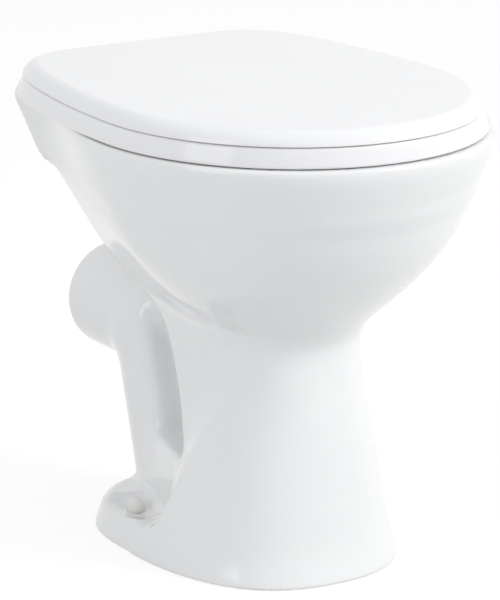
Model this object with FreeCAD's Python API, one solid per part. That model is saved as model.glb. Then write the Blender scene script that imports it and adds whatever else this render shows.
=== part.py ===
import FreeCAD, Part
import math
import os

from FreeCAD import Vector

# Floor-standing toilet with a horizontal outlet, a hinged seat and a hinged lid.
# Millimetres. +Z is up, -Y is the front, X = 0 is the plane of symmetry.
# The shapes are laid out from the rim's widest place, and are then moved so that
# the origin is midway between the two floor screw holes, on the floor.

# Pan, outer sizes
rim_height = 395.0
rim_half_width = 179.5
nose_reach = 199.0
deck_reach = 247.0
screw_line = 117.0

# Pan, bowl and rim
wall = 11.0
rim_underside = 345.0
mouth_half_width = 132.0
mouth_front = 150.0
mouth_back = 98.0
mouth_power = 2.15
rim_lip = 8.0
flush_channel_low = 353.0
flush_channel_high = 383.0
flush_channel_back = 122.0
rim_jet_radius = 3.0
rim_jet_count = 24

# Pan, outlet and trap
outlet_height = 172.5
outlet_radius = 51.0
outlet_bore_radius = 43.0
outlet_reach = 297.0
outlet_edge_radius = 4.0
outlet_root_radius = 52.5
spigot_length = 50.0
elbow_place = 197.0
leg_radius = 50.0
leg_lean = 0.305
leg_front_reach = 44.0
leg_corner_radius = 14.0
leg_floor_place = 145.0
leg_flare = 17.0
leg_flare_low = 16.0
leg_flare_height = 42.0
leg_flare_power = 2.4
leg_channel_radius = 38.0
leg_channel_low = 19.0
trap_channel_half_width = 33.0
trap_channel_half_height = 25.0
trap_floor = 12.0
trap_front = 20.0
crown_radius = 44.0
crown_place = 112.0
crown_height = 236.0
shoulder_half_width = 48.0
shoulder_low = 150.0
shoulder_high = 212.0
shoulder_back_height = 190.0

# Pan, hollows that keep the casting to its wall
deck_thickness = 14.0
deck_hollow_floor = 240.0
deck_hollow_front = 40.0
deck_opening_front = 180.0
deck_opening_back = 208.0
deck_opening_inner = 46.0
deck_opening_outer = 104.0
deck_opening_low = 290.0
column_hollow_top = 192.0

# Pan, body between the front column and the trap leg
web_half_thickness = 22.0
web_front = 30.0
web_back = 165.0
web_top = 232.0
saddle_front = 28.0
saddle_front_half_width = 90.0
saddle_back = 138.0
saddle_back_half_width = 51.0
saddle_top = 84.0
saddle_edge = 10.0

# Pan, foot
foot_half_width = 117.0
foot_widest_place = 88.0
foot_front = 148.0
foot_back = 119.0
foot_height = 24.0
foot_taper = 10.0
foot_front_power = 3.0
foot_back_power = 2.3

# Floor screws, their caps and cap washers
screw_spacing = 160.0
screw_hole_radius = 5.5
screw_dish_floor = 18.0
screw_dish_radius = 30.0
cap_radius = 8.0
cap_wall = 1.4
cap_height = 13.5
cap_lift_gap = 0.2
cap_washer_gap = 0.1
cap_washer_height = 3.0
cap_washer_hole_radius = 3.5

# Flush inlet
inlet_height = 350.0
inlet_radius = 27.5
inlet_back = 240.0
inlet_depth = 42.0
inlet_wall = 9.0
inlet_boss_front = 150.0
inlet_throat_radius = 15.0
inlet_throat_height = 364.0

# Hinge
hinge_place = 238.0
hinge_height = 412.0
hinge_spacing = 155.0
pin_radius = 3.0
pin_head_radius = 4.6
pin_head_thickness = 1.6
pin_running_gap = 0.08
knuckle_radius = 6.5
post_width = 18.0
knuckle_width = 15.5
knuckle_gap = 0.5
post_base_half_length = 18.0
post_base_thickness = 4.0
post_reach = 33.0
post_foot_back = 15.0
post_foot_front = 23.0
gasket_thickness = 1.0
gasket_hole_gap = 0.3
bolt_radius = 4.0
bolt_head_radius = 8.5
bolt_head_thickness = 2.2
bolt_length = 38.0
bolt_hole_radius = 7.5
cone_radius = 13.0
cone_flange = 4.0
cone_sleeve = 8.0
cone_gap = 0.2
bolt_gap = 0.1
bolt_washer_radius = 11.0
bolt_washer_thickness = 1.6
nut_radius = 7.5
nut_height = 9.0
nut_wing_reach = 17.0
nut_wing_thickness = 3.0
nut_wing_height = 12.0

# Seat
seat_underside = 397.0
seat_top = 412.4
seat_half_width = 176.2
seat_front = 193.0
seat_back = 254.0
seat_slope = 5.4
seat_edge_radius = 2.4
seat_rear_gap = 4.0
seat_mouth_half_width = 113.0
seat_mouth_front = 136.0
seat_mouth_back = 122.0
seat_mouth_power = 2.2
seat_mouth_radius = 6.0
seat_notch_depth = 52.0
seat_notch_gap = 3.5

# Lid
lid_underside = 413.4
lid_half_width = 170.6
lid_front = 187.4
lid_back = 248.7
lid_edge_height = 12.2
lid_edge_width = 13.1
lid_edge_power = 1.6
lid_crown = 1.0
lid_crown_width = 60.0
lid_skin = 3.6
lid_slot_front = 2.2

# Outline of seat and lid
cover_front_power = 2.02
cover_back_power = 8.0
cover_back_taper_share = 0.21

# Buffers
buffer_radius = 9.0
buffer_edge_radius = 0.8
buffer_plug_radius = 3.5
buffer_plug_length = 5.0
buffer_gap = 0.3
lid_buffer_radius = 6.0
lid_buffer_edge_radius = 1.5

# Cuts run past the faces that they open by this much.
overrun = 2.0
full_turn = 360.0
curve_points = 48
nose_points = 16
side_points = 8
flare_steps = 6
seat_edge_steps = 3
mouth_edge_steps = 6
lid_edge_steps = 8
same_height = 0.01
cm3 = 1000.0

# Lofted forms get a section about this often, so that they keep to their levels.
section_spacing = 8.0

# Outer form of bowl, neck and front column, level by level. Heights are shares of
# rim_height, half widths of rim_half_width, front places of nose_reach, and all other
# places of deck_reach. A level is: height, half width, widest place, front place,
# power of the front curve, rear half width, place where the side has come in to it,
# rear place, rounding of the rear corner as a share of rim_half_width.
BODY_LEVEL_SHARES = [
    (1.000, 1.000, 0.000, 1.000, 2.02, 0.758, 0.830, 0.996, 0.111),
    (0.987, 1.000, 0.000, 1.000, 2.02, 0.758, 0.830, 0.996, 0.111),
    (0.941, 0.975, 0.000, 0.974, 2.02, 0.744, 0.826, 0.949, 0.106),
    (0.901, 0.945, 0.000, 0.941, 2.02, 0.727, 0.822, 0.907, 0.095),
    (0.873, 0.929, 0.000, 0.922, 2.00, 0.716, 0.814, 0.872, 0.078),
    (0.855, 0.913, 0.000, 0.903, 2.00, 0.708, 0.810, 0.836, 0.056),
    (0.837, 0.893, 0.000, 0.883, 2.00, 0.694, 0.802, 0.722, 0.045),
    (0.805, 0.866, 0.000, 0.855, 2.00, 0.659, 0.789, 0.702, 0.045),
    (0.754, 0.809, 0.000, 0.798, 2.00, 0.603, 0.761, 0.666, 0.045),
    (0.694, 0.707, 0.000, 0.706, 2.00, 0.544, 0.721, 0.619, 0.045),
    (0.638, 0.592, 0.000, 0.596, 2.00, 0.481, 0.664, 0.565, 0.045),
    (0.592, 0.482, 0.004, 0.490, 2.00, 0.416, 0.611, 0.510, 0.045),
    (0.557, 0.409, 0.008, 0.415, 2.10, 0.370, 0.559, 0.465, 0.045),
    (0.519, 0.370, 0.008, 0.371, 2.30, 0.348, 0.445, 0.404, 0.045),
    (0.455, 0.368, 0.000, 0.374, 2.40, 0.345, 0.300, 0.352, 0.045),
    (0.380, 0.404, -0.024, 0.392, 2.15, 0.340, 0.324, 0.312, 0.045),
    (0.296, 0.443, -0.016, 0.408, 2.25, 0.373, 0.283, 0.243, 0.045),
    (0.223, 0.485, 0.032, 0.418, 2.37, 0.401, 0.251, 0.202, 0.045),
    (0.147, 0.535, 0.097, 0.436, 2.41, 0.429, 0.291, 0.239, 0.045),
    (0.076, 0.585, 0.150, 0.452, 2.41, 0.435, 0.348, 0.296, 0.045),
    (0.030, 0.618, 0.194, 0.482, 2.40, 0.440, 0.405, 0.356, 0.045),
    (0.000, 0.646, 0.227, 0.520, 2.40, 0.446, 0.437, 0.397, 0.045),
]

# Inside of the bowl and the well: height share of rim_underside, half width share
# of rim_half_width, front share of nose_reach, back share of deck_reach.
WELL_LEVEL_SHARES = [
    (1.000, 0.850, 0.855, 0.437),
    (0.922, 0.785, 0.785, 0.421),
    (0.829, 0.665, 0.670, 0.393),
    (0.739, 0.521, 0.535, 0.356),
    (0.670, 0.380, 0.397, 0.332),
    (0.594, 0.290, 0.291, 0.324),
    (0.493, 0.301, 0.271, 0.300),
    (0.377, 0.290, 0.281, 0.240),
    (0.261, 0.267, 0.271, 0.206),
    (0.174, 0.234, 0.221, 0.194),
    (0.107, 0.201, 0.171, 0.186),
    (0.035, 0.123, 0.080, 0.146),
]

# Edge of the foot: share of foot_height, share of foot_taper.
FOOT_EDGE_SHARES = [(0.0, 0.0), (0.35, 0.05), (0.75, 0.40), (1.0, 1.0)]

# Buffers, front and back: half width and place as shares of the half width and the
# front reach of the seat, or of the lid for the lid's own.
SEAT_BUFFER_SHARES = [(0.790, -0.330), (0.740, 0.400)]
LID_BUFFER_SHARES = [(0.733, -0.391), (0.785, 0.443)]

# Inner faces of the lid: share of the inside height, share of lid_edge_width.
LID_INSIDE_SHARES = [(0.0, 0.0), (0.45, 0.16), (1.0, 0.85)]


def open_curve(points):
    """An edge through the given points, evenly parted so that lofts stay light."""
    curve = Part.BSplineCurve()
    curve.interpolate(Points=points, Parameters=[float(k) for k in range(len(points))])
    return curve.toShape()


def closed_curve(points):
    """A closed wire through the given points, evenly parted."""
    curve = Part.BSplineCurve()
    curve.interpolate(Points=points, PeriodicFlag=True,
                      Parameters=[float(k) for k in range(len(points) + 1)])
    return Part.Wire([curve.toShape()])


def box(x_low, x_high, y_low, y_high, z_low, z_high):
    corner = Vector(x_low, y_low, z_low)
    return Part.makeBox(x_high - x_low, y_high - y_low, z_high - z_low, corner)


def upright(radius, x, y, z_low, z_high):
    """A cylinder along Z."""
    return Part.makeCylinder(radius, z_high - z_low, Vector(x, y, z_low))


def cross_pin(radius, x_low, x_high):
    """A cylinder along X on the hinge axis."""
    start = Vector(x_low, hinge_place, hinge_height)
    return Part.makeCylinder(radius, x_high - x_low, start, Vector(1, 0, 0))


def joined(shapes):
    """One solid from overlapping solids."""
    result = shapes[0]
    for shape in shapes[1:]:
        result = result.fuse(shape)
    return only_solid(result)


def cut_away(shape, tools):
    """The shape less each of the tools."""
    for tool in tools:
        shape = shape.cut(tool)
    return only_solid(shape)


def only_solid(shape):
    if len(shape.Solids) != 1:
        raise RuntimeError("a piece came out as more or less than one solid")
    return shape.Solids[0]


def oval(half_width, front, back, z, front_power, back_power, taper_share=0.0, place=0.0):
    """Closed outline whose front and back halves are superellipses.

    Each half is (x / half width)^power + (y / reach)^power = 1, and the back half
    also narrows by taper_share times the square of the share of its reach.
    """
    points = []
    for step in range(curve_points):
        angle = 2 * math.pi * step / curve_points
        across = math.sin(angle)
        along = math.cos(angle)
        if along > 0:
            power, reach, narrowing = front_power, front, 0.0
        else:
            power, reach, narrowing = back_power, back, taper_share
        size = (abs(across) ** power + abs(along) ** power) ** (-1 / power)
        y_share = -along * size
        x = half_width * across * size * (1 - narrowing * y_share ** 2)
        points.append(Vector(x, place + reach * y_share, z))
    return closed_curve(points)


def cover_outline(half_width, front, back, z):
    """The plan that the seat and the lid share."""
    return oval(half_width, front, back, z, cover_front_power, cover_back_power,
                cover_back_taper_share)


def slopes(levels, column):
    """Slope of one column at each level, flat where its values turn."""
    steps = []
    for low, high in zip(levels, levels[1:]):
        steps.append((high[column] - low[column]) / (high[0] - low[0]))
    middle = []
    for before, after in zip(steps, steps[1:]):
        turns = before * after <= 0
        middle.append(0.0 if turns else 2 * before * after / (before + after))
    return [steps[0]] + middle + [steps[-1]]


def level_between(levels, height):
    """One level at any height, on smooth curves through the given levels."""
    index = 0
    while index < len(levels) - 2 and height > levels[index + 1][0]:
        index += 1
    low, high = levels[index], levels[index + 1]
    span = high[0] - low[0]
    share = (height - low[0]) / span
    values = [height]
    for column in range(1, len(low)):
        slope = slopes(levels, column)
        hermite = (
            low[column] * (1 + 2 * share) * (1 - share) ** 2
            + slope[index] * span * share * (1 - share) ** 2
            + high[column] * share ** 2 * (3 - 2 * share)
            + slope[index + 1] * span * share ** 2 * (share - 1)
        )
        values.append(hermite)
    return values


def lofted(levels, section, full_height, low=0.0, high=1.0):
    """Smooth solid through sections at even heights between two height shares."""
    levels = sorted(levels)
    low = max(low, levels[0][0])
    count = max(2, round((high - low) * full_height / section_spacing))
    sections = []
    for step in range(count + 1):
        height = low + (high - low) * step / count
        sections.append(section(level_between(levels, height)))
    return Part.makeLoft(sections, True, False)


def body_section(level, inset=0.0):
    """Closed outline of bowl or column at one level, with its two rear corners.

    The front is half a superellipse. Each side comes in to the rear half width along
    3 s^2 - 2 s^3, and runs straight back from there.
    """
    height, width, widest, front, power, rear_width, settled, rear, rounding = level
    z = rim_height * height
    x_wide = rim_half_width * width - inset
    y_wide = deck_reach * widest
    y_front = -nose_reach * front + inset
    x_rear = rim_half_width * rear_width - inset
    y_settled = deck_reach * settled
    y_rear = deck_reach * rear - inset
    radius = rim_half_width * rounding

    nose = []
    for step in range(nose_points + 1):
        angle = math.pi * step / nose_points
        across = -math.cos(angle)
        along = math.sin(angle)
        size = (abs(across) ** power + abs(along) ** power) ** (-1 / power)
        nose.append(Vector(x_wide * across * size, y_wide + (y_front - y_wide) * along * size, z))

    right = []
    for step in range(side_points + 1):
        y = y_wide + (y_rear - radius - y_wide) * step / side_points
        share = min(1.0, (y - y_wide) / (y_settled - y_wide))
        x = x_wide + (x_rear - x_wide) * share ** 2 * (3 - 2 * share)
        right.append(Vector(x, y, z))

    slope = 6 * share * (1 - share) * (x_rear - x_wide) / (y_settled - y_wide)
    tip = Vector(right[-1].x + slope * radius, y_rear, z)
    landing = Vector(tip.x - radius, y_rear, z)
    return Part.Wire([
        open_curve(nose),
        open_curve(right),
        corner_curve(right[-1], tip, landing),
        Part.makeLine(landing, flipped(landing)),
        corner_curve(flipped(landing), flipped(tip), flipped(right[-1])),
        open_curve([flipped(point) for point in reversed(right)]),
    ])


def flipped(point):
    return Vector(-point.x, point.y, point.z)


def corner_curve(start, tip, end):
    """A rounded corner that leaves and lands along its two sides."""
    curve = Part.BezierCurve()
    curve.setPoles([start, tip, end])
    return curve.toShape()


def bowl_and_column():
    """Bowl, deck, neck and front column as one smooth form."""
    return lofted(BODY_LEVEL_SHARES, body_section, rim_height)


def leg_place(z):
    return leg_floor_place + leg_lean * z


def leg_section(z, radius):
    return Part.Wire([Part.makeCircle(radius, Vector(0, leg_place(z), z))])


def leg_outline(z):
    """Half round behind, with flat sides and two rounded corners in front."""
    place = leg_place(z)
    front = place - leg_front_reach
    side = Vector(leg_radius, place, z)
    turn = Vector(leg_radius, front + leg_corner_radius, z)
    landing = Vector(leg_radius - leg_corner_radius, front, z)
    slant = leg_corner_radius / math.sqrt(2)
    middle = Vector(landing.x + slant, turn.y - slant, z)
    return Part.Wire([
        Part.Arc(flipped(side), Vector(0, place + leg_radius, z), side).toShape(),
        Part.makeLine(side, turn),
        Part.Arc(turn, middle, landing).toShape(),
        Part.makeLine(landing, flipped(landing)),
        Part.Arc(flipped(landing), flipped(middle), flipped(turn)).toShape(),
        Part.makeLine(flipped(turn), flipped(side)),
    ])


def trap_leg():
    """Leaning leg behind the pocket."""
    return Part.makeLoft([leg_outline(overrun), leg_outline(outlet_height)], True, True)


def shoulder():
    """Flat-sided top of the leg, which leans on up towards the back of the bowl."""
    outline = [
        Vector(0, leg_place(shoulder_low) - leg_front_reach, shoulder_low),
        Vector(0, leg_place(shoulder_high) - leg_front_reach, shoulder_high),
        Vector(0, elbow_place, shoulder_back_height),
        Vector(0, elbow_place, shoulder_low),
    ]
    start = Vector(-shoulder_half_width, 0, 0)
    wire = Part.makePolygon([start + point for point in outline + outline[:1]])
    block = Part.Face(wire).extrude(Vector(2 * shoulder_half_width, 0, 0))
    front = leg_place((shoulder_low + shoulder_high) / 2) - leg_front_reach
    leaning = [edge for edge in block.Edges
               if abs(abs(edge.CenterOfMass.x) - shoulder_half_width) < same_height
               and abs(edge.CenterOfMass.y - front) < same_height]
    return block.makeFillet(leg_corner_radius, leaning)


def leg_flare_skirt():
    """Concave flare where the leg meets the foot."""
    sections = []
    for step in range(flare_steps + 1):
        share = step / flare_steps
        radius = leg_radius + leg_flare * (1 - share) ** leg_flare_power
        sections.append(leg_section(leg_flare_low + leg_flare_height * share, radius))
    return Part.makeLoft(sections, True, False)


def outlet_bore():
    """Round passage through elbow and outlet, along +Y."""
    centre = Vector(0, elbow_place, outlet_height)
    ball = Part.makeSphere(outlet_bore_radius, centre)
    length = outlet_reach + overrun - elbow_place
    return ball.fuse(Part.makeCylinder(outlet_bore_radius, length, centre, Vector(0, 1, 0)))


def outlet_body():
    """Elbow, a tube that narrows a little, and a straight spigot with a rounded end."""
    along = Vector(0, 1, 0)
    centre = Vector(0, elbow_place, outlet_height)
    spigot_start = Vector(0, outlet_reach - outlet_edge_radius - spigot_length, outlet_height)
    ball = Part.makeSphere(outlet_root_radius, centre)
    root = Part.makeCone(outlet_root_radius, outlet_radius, spigot_start.y - centre.y, centre,
                         along)
    spigot = Part.makeCylinder(outlet_radius, outlet_reach - spigot_start.y, spigot_start, along)
    rims = [edge for edge in spigot.Edges
            if abs(edge.CenterOfMass.y - outlet_reach) < overrun]
    return ball.fuse(root).fuse(spigot.makeFillet(outlet_edge_radius, rims))


def crown():
    """Short round body that carries the elbow up into the back of the bowl."""
    start = Vector(0, elbow_place, outlet_height)
    end = Vector(0, crown_place, crown_height)
    path = end - start
    return Part.makeCylinder(crown_radius, path.Length, start, path)


def saddle():
    """Low body between column and leg, under the pocket, over the trap's channel."""
    ends = []
    for y, half_width in [(saddle_front, saddle_front_half_width),
                          (saddle_back, saddle_back_half_width)]:
        shoulder = half_width - saddle_edge
        right = [Vector(shoulder, y, saddle_top),
                 Vector(half_width, y, saddle_top - saddle_edge),
                 Vector(half_width, y, 0)]
        left = [flipped(point) for point in reversed(right)]
        ends.append(Part.makePolygon(left + right + left[:1]))
    return Part.makeLoft(ends, True, True)


def web():
    """Wall at the middle of the pocket that joins column, leg and bowl."""
    return box(-web_half_thickness, web_half_thickness, web_front, web_back,
               saddle_top - saddle_edge, web_top)


def foot_plate():
    """Low flange round the back of the foot, drawn in towards its top."""
    sections = []
    for height_share, inset_share in FOOT_EDGE_SHARES:
        inset = foot_taper * inset_share
        sections.append(oval(foot_half_width - inset, foot_front, foot_back - inset,
                             foot_height * height_share, foot_front_power,
                             foot_back_power, place=foot_widest_place))
    return Part.makeLoft(sections, True, False)


def inlet_boss():
    """Round body under the deck that holds the flush inlet."""
    start = Vector(0, inlet_boss_front, inlet_height)
    return Part.makeCylinder(inlet_radius + inlet_wall, inlet_back - inlet_boss_front, start,
                             Vector(0, 1, 0))


def well_section(level, growth=0.0):
    height, width, front, back = level
    return oval(rim_half_width * width + growth, nose_reach * front + growth,
                deck_reach * back + growth, rim_underside * height, mouth_power, mouth_power)


def well():
    """Hollow of the bowl, narrowing into the trap."""
    return lofted(WELL_LEVEL_SHARES, well_section, rim_underside)


def well_with_wall():
    """The bowl's hollow with its wall, down to the floor of the trap."""
    return lofted(WELL_LEVEL_SHARES, lambda level: well_section(level, wall), rim_underside)


def inset_body(low_height, high_height):
    """Inside face of the outer wall between two heights."""
    return lofted(BODY_LEVEL_SHARES, lambda level: body_section(level, wall), rim_height,
                  low_height / rim_height, high_height / rim_height)


def column_hollow():
    """Space between the column's wall and the well's, open at the floor."""
    space = inset_body(0, column_hollow_top)
    return space.cut(well_with_wall()).cut(low_channel(wall))


def deck_hollow():
    """Space behind the bowl and under the deck, open below the deck."""
    top = rim_height - deck_thickness
    space = inset_body(deck_hollow_floor, top)
    room = box(-rim_half_width, rim_half_width, deck_hollow_front, deck_reach,
               deck_hollow_floor, top)
    space = space.common(room).cut(well_with_wall())
    rim_core = oval(rim_half_width, nose_reach, flush_channel_back + wall,
                    rim_underside - wall, mouth_power, mouth_power)
    space = space.cut(Part.Face(rim_core).extrude(Vector(0, 0, rim_height - rim_underside)))
    return space.cut(inlet_boss()).cut(inlet_throat(inlet_throat_radius + wall))


def deck_openings():
    """Openings in the deck's underside, under the hinge bolts."""
    cuts = []
    for low, high in [(deck_opening_inner, deck_opening_outer),
                      (-deck_opening_outer, -deck_opening_inner)]:
        cuts.append(box(low, high, deck_opening_front, deck_opening_back, deck_opening_low,
                        rim_height - deck_thickness))
    return cuts


def mouth():
    """Opening inside the rim."""
    outline = oval(mouth_half_width, mouth_front, mouth_back, rim_underside - overrun,
                   mouth_power, mouth_power)
    height = rim_height - rim_underside + 2 * overrun
    return Part.Face(outline).extrude(Vector(0, 0, height))


def flush_channel():
    """Ring-shaped channel inside the rim, its jets and its feed from the inlet."""
    level = level_between(sorted(BODY_LEVEL_SHARES), flush_channel_low / rim_height)
    width_share, front_share = level[1], level[3]
    outer = oval(rim_half_width * width_share - wall, nose_reach * front_share - wall,
                 flush_channel_back, flush_channel_low, mouth_power, mouth_power)
    inner = oval(mouth_half_width + rim_lip, mouth_front + rim_lip, mouth_back + rim_lip,
                 flush_channel_low, mouth_power, mouth_power)
    rise = Vector(0, 0, flush_channel_high - flush_channel_low)
    ring = Part.Face(outer).extrude(rise).cut(Part.Face(inner).extrude(rise))
    parts = [rim_jet(index) for index in range(rim_jet_count)]
    parts.append(inlet_throat(inlet_throat_radius).cut(Part.Face(inner).extrude(rise)))
    return ring.fuse(parts)


def inlet_throat(radius):
    """Feed from the flush inlet to the rim's channel."""
    start = Vector(0, mouth_back + rim_lip + overrun, inlet_throat_height)
    return Part.makeCylinder(radius, inlet_back - inlet_depth - start.y, start, Vector(0, 1, 0))


def rim_jet(index):
    """One jet through the rim's underside, midway across the channel."""
    angle = 2 * math.pi * (index + 0.5) / rim_jet_count
    reach = mouth_front if math.cos(angle) > 0 else mouth_back
    step_out = rim_lip + 2 * rim_jet_radius
    x = (mouth_half_width + step_out) * math.sin(angle)
    y = -(reach + step_out) * math.cos(angle)
    return upright(rim_jet_radius, x, y, rim_underside - overrun, flush_channel_low + overrun)


def low_channel(growth):
    """Lowest stretch of the trap, from the well to the leg."""
    centre_height = trap_floor + trap_channel_half_height
    rear = leg_place(centre_height)
    centre = Vector(0, trap_front, centre_height)
    ellipse = Part.Ellipse(centre + Vector(trap_channel_half_width + growth, 0, 0),
                           centre + Vector(0, 0, trap_channel_half_height + growth), centre)
    return Part.Face(Part.Wire([ellipse.toShape()])).extrude(Vector(0, rear - trap_front, 0))


def trap_channel():
    """Passage from the well under the web and up the leg to the outlet."""
    ends = [leg_section(z, leg_channel_radius) for z in (leg_channel_low, outlet_height)]
    rise = Part.makeLoft(ends, True, True)
    return [low_channel(0), rise, outlet_bore()]


def flush_inlet():
    start = Vector(0, inlet_back - inlet_depth, inlet_height)
    return Part.makeCylinder(inlet_radius, inlet_depth + overrun, start, Vector(0, 1, 0))


def screw_cuts():
    """Dish and hole for each floor screw."""
    cuts = []
    for side in (-1, 1):
        x = side * screw_spacing / 2
        depth = foot_height - screw_dish_floor
        ball_radius = (screw_dish_radius ** 2 + depth ** 2) / (2 * depth)
        ball = Part.makeSphere(ball_radius, Vector(x, screw_line, screw_dish_floor + ball_radius))
        keep = upright(screw_dish_radius + overrun, x, screw_line, 0, foot_height + overrun)
        cuts.append(ball.common(keep))
        cuts.append(upright(cap_radius + overrun, x, screw_line, screw_dish_floor, foot_height))
        cuts.append(upright(screw_hole_radius, x, screw_line, -overrun, foot_height))
    return cuts


def hinge_sides():
    """The two hinges' places along X."""
    return [-hinge_spacing / 2, hinge_spacing / 2]


def bolt_place():
    return hinge_place - post_reach


def hinge_hole_cuts():
    """Bolt holes through the deck."""
    low = rim_height - deck_thickness - overrun
    return [upright(bolt_hole_radius, x, bolt_place(), low, rim_height + overrun)
            for x in hinge_sides()]


def pan():
    """The whole ceramic casting."""
    outer = joined([bowl_and_column(), trap_leg(), leg_flare_skirt(), outlet_body(), crown(),
                    shoulder(), saddle(), web(), foot_plate(), inlet_boss()])
    cuts = [deck_hollow(), column_hollow(), well(), mouth(), flush_channel(), flush_inlet()]
    cuts += trap_channel() + deck_openings() + screw_cuts() + hinge_hole_cuts()
    return cut_away(outer, cuts)


def tangent_point(y, z, turn):
    """Where a line from a point, both measured from the hinge axis, meets the knuckle."""
    angle = math.atan2(z, y) + turn * math.acos(knuckle_radius / math.hypot(y, z))
    return Vector(0, knuckle_radius * math.cos(angle), knuckle_radius * math.sin(angle))


def post_foot(x, low, high):
    """Long flat base with round ends, as wide as the post."""
    half_width = post_width / 2
    straight = post_base_half_length - half_width
    tips = []
    corners = []
    for side in (-1, 1):
        y = bolt_place() + side * straight
        tips.append(Vector(x, y + side * half_width, low))
        corners.append([Vector(x - half_width, y, low), Vector(x + half_width, y, low)])
    outline = Part.Wire([
        Part.Arc(corners[0][0], tips[0], corners[0][1]).toShape(),
        Part.makeLine(corners[0][1], corners[1][1]),
        Part.Arc(corners[1][1], tips[1], corners[1][0]).toShape(),
        Part.makeLine(corners[1][0], corners[0][0]),
    ])
    return Part.Face(outline).extrude(Vector(0, 0, high - low))


def hinge_post(x):
    """Post on the deck: long base, leaning arm and the knuckle that holds the pin."""
    base_low = rim_height + gasket_thickness
    base_high = base_low + post_base_thickness
    drop = base_low - hinge_height
    back = Vector(0, -post_foot_back, drop)
    front = Vector(0, -post_foot_front, drop + post_base_thickness)
    outline = [back, tangent_point(back.y, back.z, 1), tangent_point(front.y, front.z, -1),
               front, Vector(0, -post_foot_front, drop)]
    axis = Vector(x - post_width / 2, hinge_place, hinge_height)
    wire = Part.makePolygon([axis + point for point in outline + outline[:1]])
    arm = Part.Face(wire).extrude(Vector(post_width, 0, 0))
    knuckle = cross_pin(knuckle_radius, x - post_width / 2, x + post_width / 2)
    base = post_foot(x, base_low, base_high)
    body = joined([base, arm, knuckle])
    return cut_away(body, [
        cross_pin(pin_radius, x - post_width, x + post_width),
        upright(bolt_radius, x, bolt_place(), base_low - overrun, base_high + overrun),
        upright(bolt_head_radius, x, bolt_place(), base_high - bolt_head_thickness,
                base_high + overrun),
    ])


def knuckle_span(x, outward):
    """Low and high X of the seat's (outward) or the lid's (inward) knuckle."""
    side = math.copysign(1, x) * (1 if outward else -1)
    near = x + side * (post_width / 2 + knuckle_gap)
    far = near + side * knuckle_width
    return min(near, far), max(near, far)


def hinge_pin(x):
    """Steel pin, its head at the lid's side."""
    side = math.copysign(1, x)
    inner = x - side * (post_width / 2 + knuckle_gap + knuckle_width + pin_running_gap)
    outer = x + side * (post_width / 2 + knuckle_gap + knuckle_width)
    shank = cross_pin(pin_radius, min(inner, outer), max(inner, outer))
    head_end = inner - side * pin_head_thickness
    head = cross_pin(pin_head_radius, min(inner, head_end), max(inner, head_end))
    return joined([shank, head])


def hinge_gasket(x):
    pad = post_foot(x, rim_height, rim_height + gasket_thickness)
    hole = upright(bolt_radius + gasket_hole_gap, x, bolt_place(), rim_height - overrun,
                   rim_height + gasket_thickness + overrun)
    return pad.cut(hole)


def hinge_bolt(x):
    top = rim_height + gasket_thickness + post_base_thickness
    head = upright(bolt_head_radius, x, bolt_place(), top - bolt_head_thickness, top)
    shank = upright(bolt_radius, x, bolt_place(), top - bolt_head_thickness - bolt_length, top)
    return joined([head, shank])


def bolt_cone(x):
    """Rubber cone: a flange under the deck and a sleeve up into the bolt's hole."""
    deck_underside = rim_height - deck_thickness
    flange = upright(cone_radius, x, bolt_place(), deck_underside - cone_flange, deck_underside)
    sleeve = upright(bolt_hole_radius - cone_gap, x, bolt_place(),
                     deck_underside - cone_flange, deck_underside + cone_sleeve)
    hole = upright(bolt_radius + bolt_gap, x, bolt_place(), deck_underside - cone_flange - overrun,
                   deck_underside + cone_sleeve + overrun)
    return cut_away(joined([flange, sleeve]), [hole])


def bolt_washer(x):
    top = rim_height - deck_thickness - cone_flange
    disc = upright(bolt_washer_radius, x, bolt_place(), top - bolt_washer_thickness, top)
    return disc.cut(upright(bolt_radius + bolt_gap, x, bolt_place(),
                            top - bolt_washer_thickness - overrun, top + overrun))


def wing_nut(x):
    """Nut with two wings."""
    top = rim_height - deck_thickness - cone_flange - bolt_washer_thickness
    place = bolt_place()
    hub = upright(nut_radius, x, place, top - nut_height, top)
    wings = box(x - nut_wing_reach, x + nut_wing_reach, place - nut_wing_thickness / 2,
                place + nut_wing_thickness / 2, top - nut_wing_height, top - nut_wing_thickness)
    hole = upright(bolt_radius, x, place, top - nut_wing_height - overrun, top + overrun)
    return cut_away(joined([hub, wings]), [hole])


def level_edges(shape, z):
    """Edges of a shape that lie at one height."""
    return [edge for edge in shape.Edges
            if max(abs(edge.BoundBox.ZMin - z), abs(edge.BoundBox.ZMax - z)) < same_height]


def seat_blank():
    """Seat without its mouth: the outer face slopes in, both of its edges are round."""
    bottom = []
    top = []
    for step in range(seat_edge_steps + 1):
        angle = math.pi / 2 * step / seat_edge_steps
        rise = seat_edge_radius * (1 - math.cos(angle))
        inset = seat_edge_radius * (1 - math.sin(angle))
        bottom.append(seat_outline(inset, seat_underside + rise))
        top.append(seat_outline(seat_slope + inset, seat_top - rise))
    return Part.makeLoft(bottom + list(reversed(top)), True, True)


def seat_outline(inset, z):
    return cover_outline(seat_half_width - inset, seat_front - inset, seat_back - inset, z)


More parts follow.
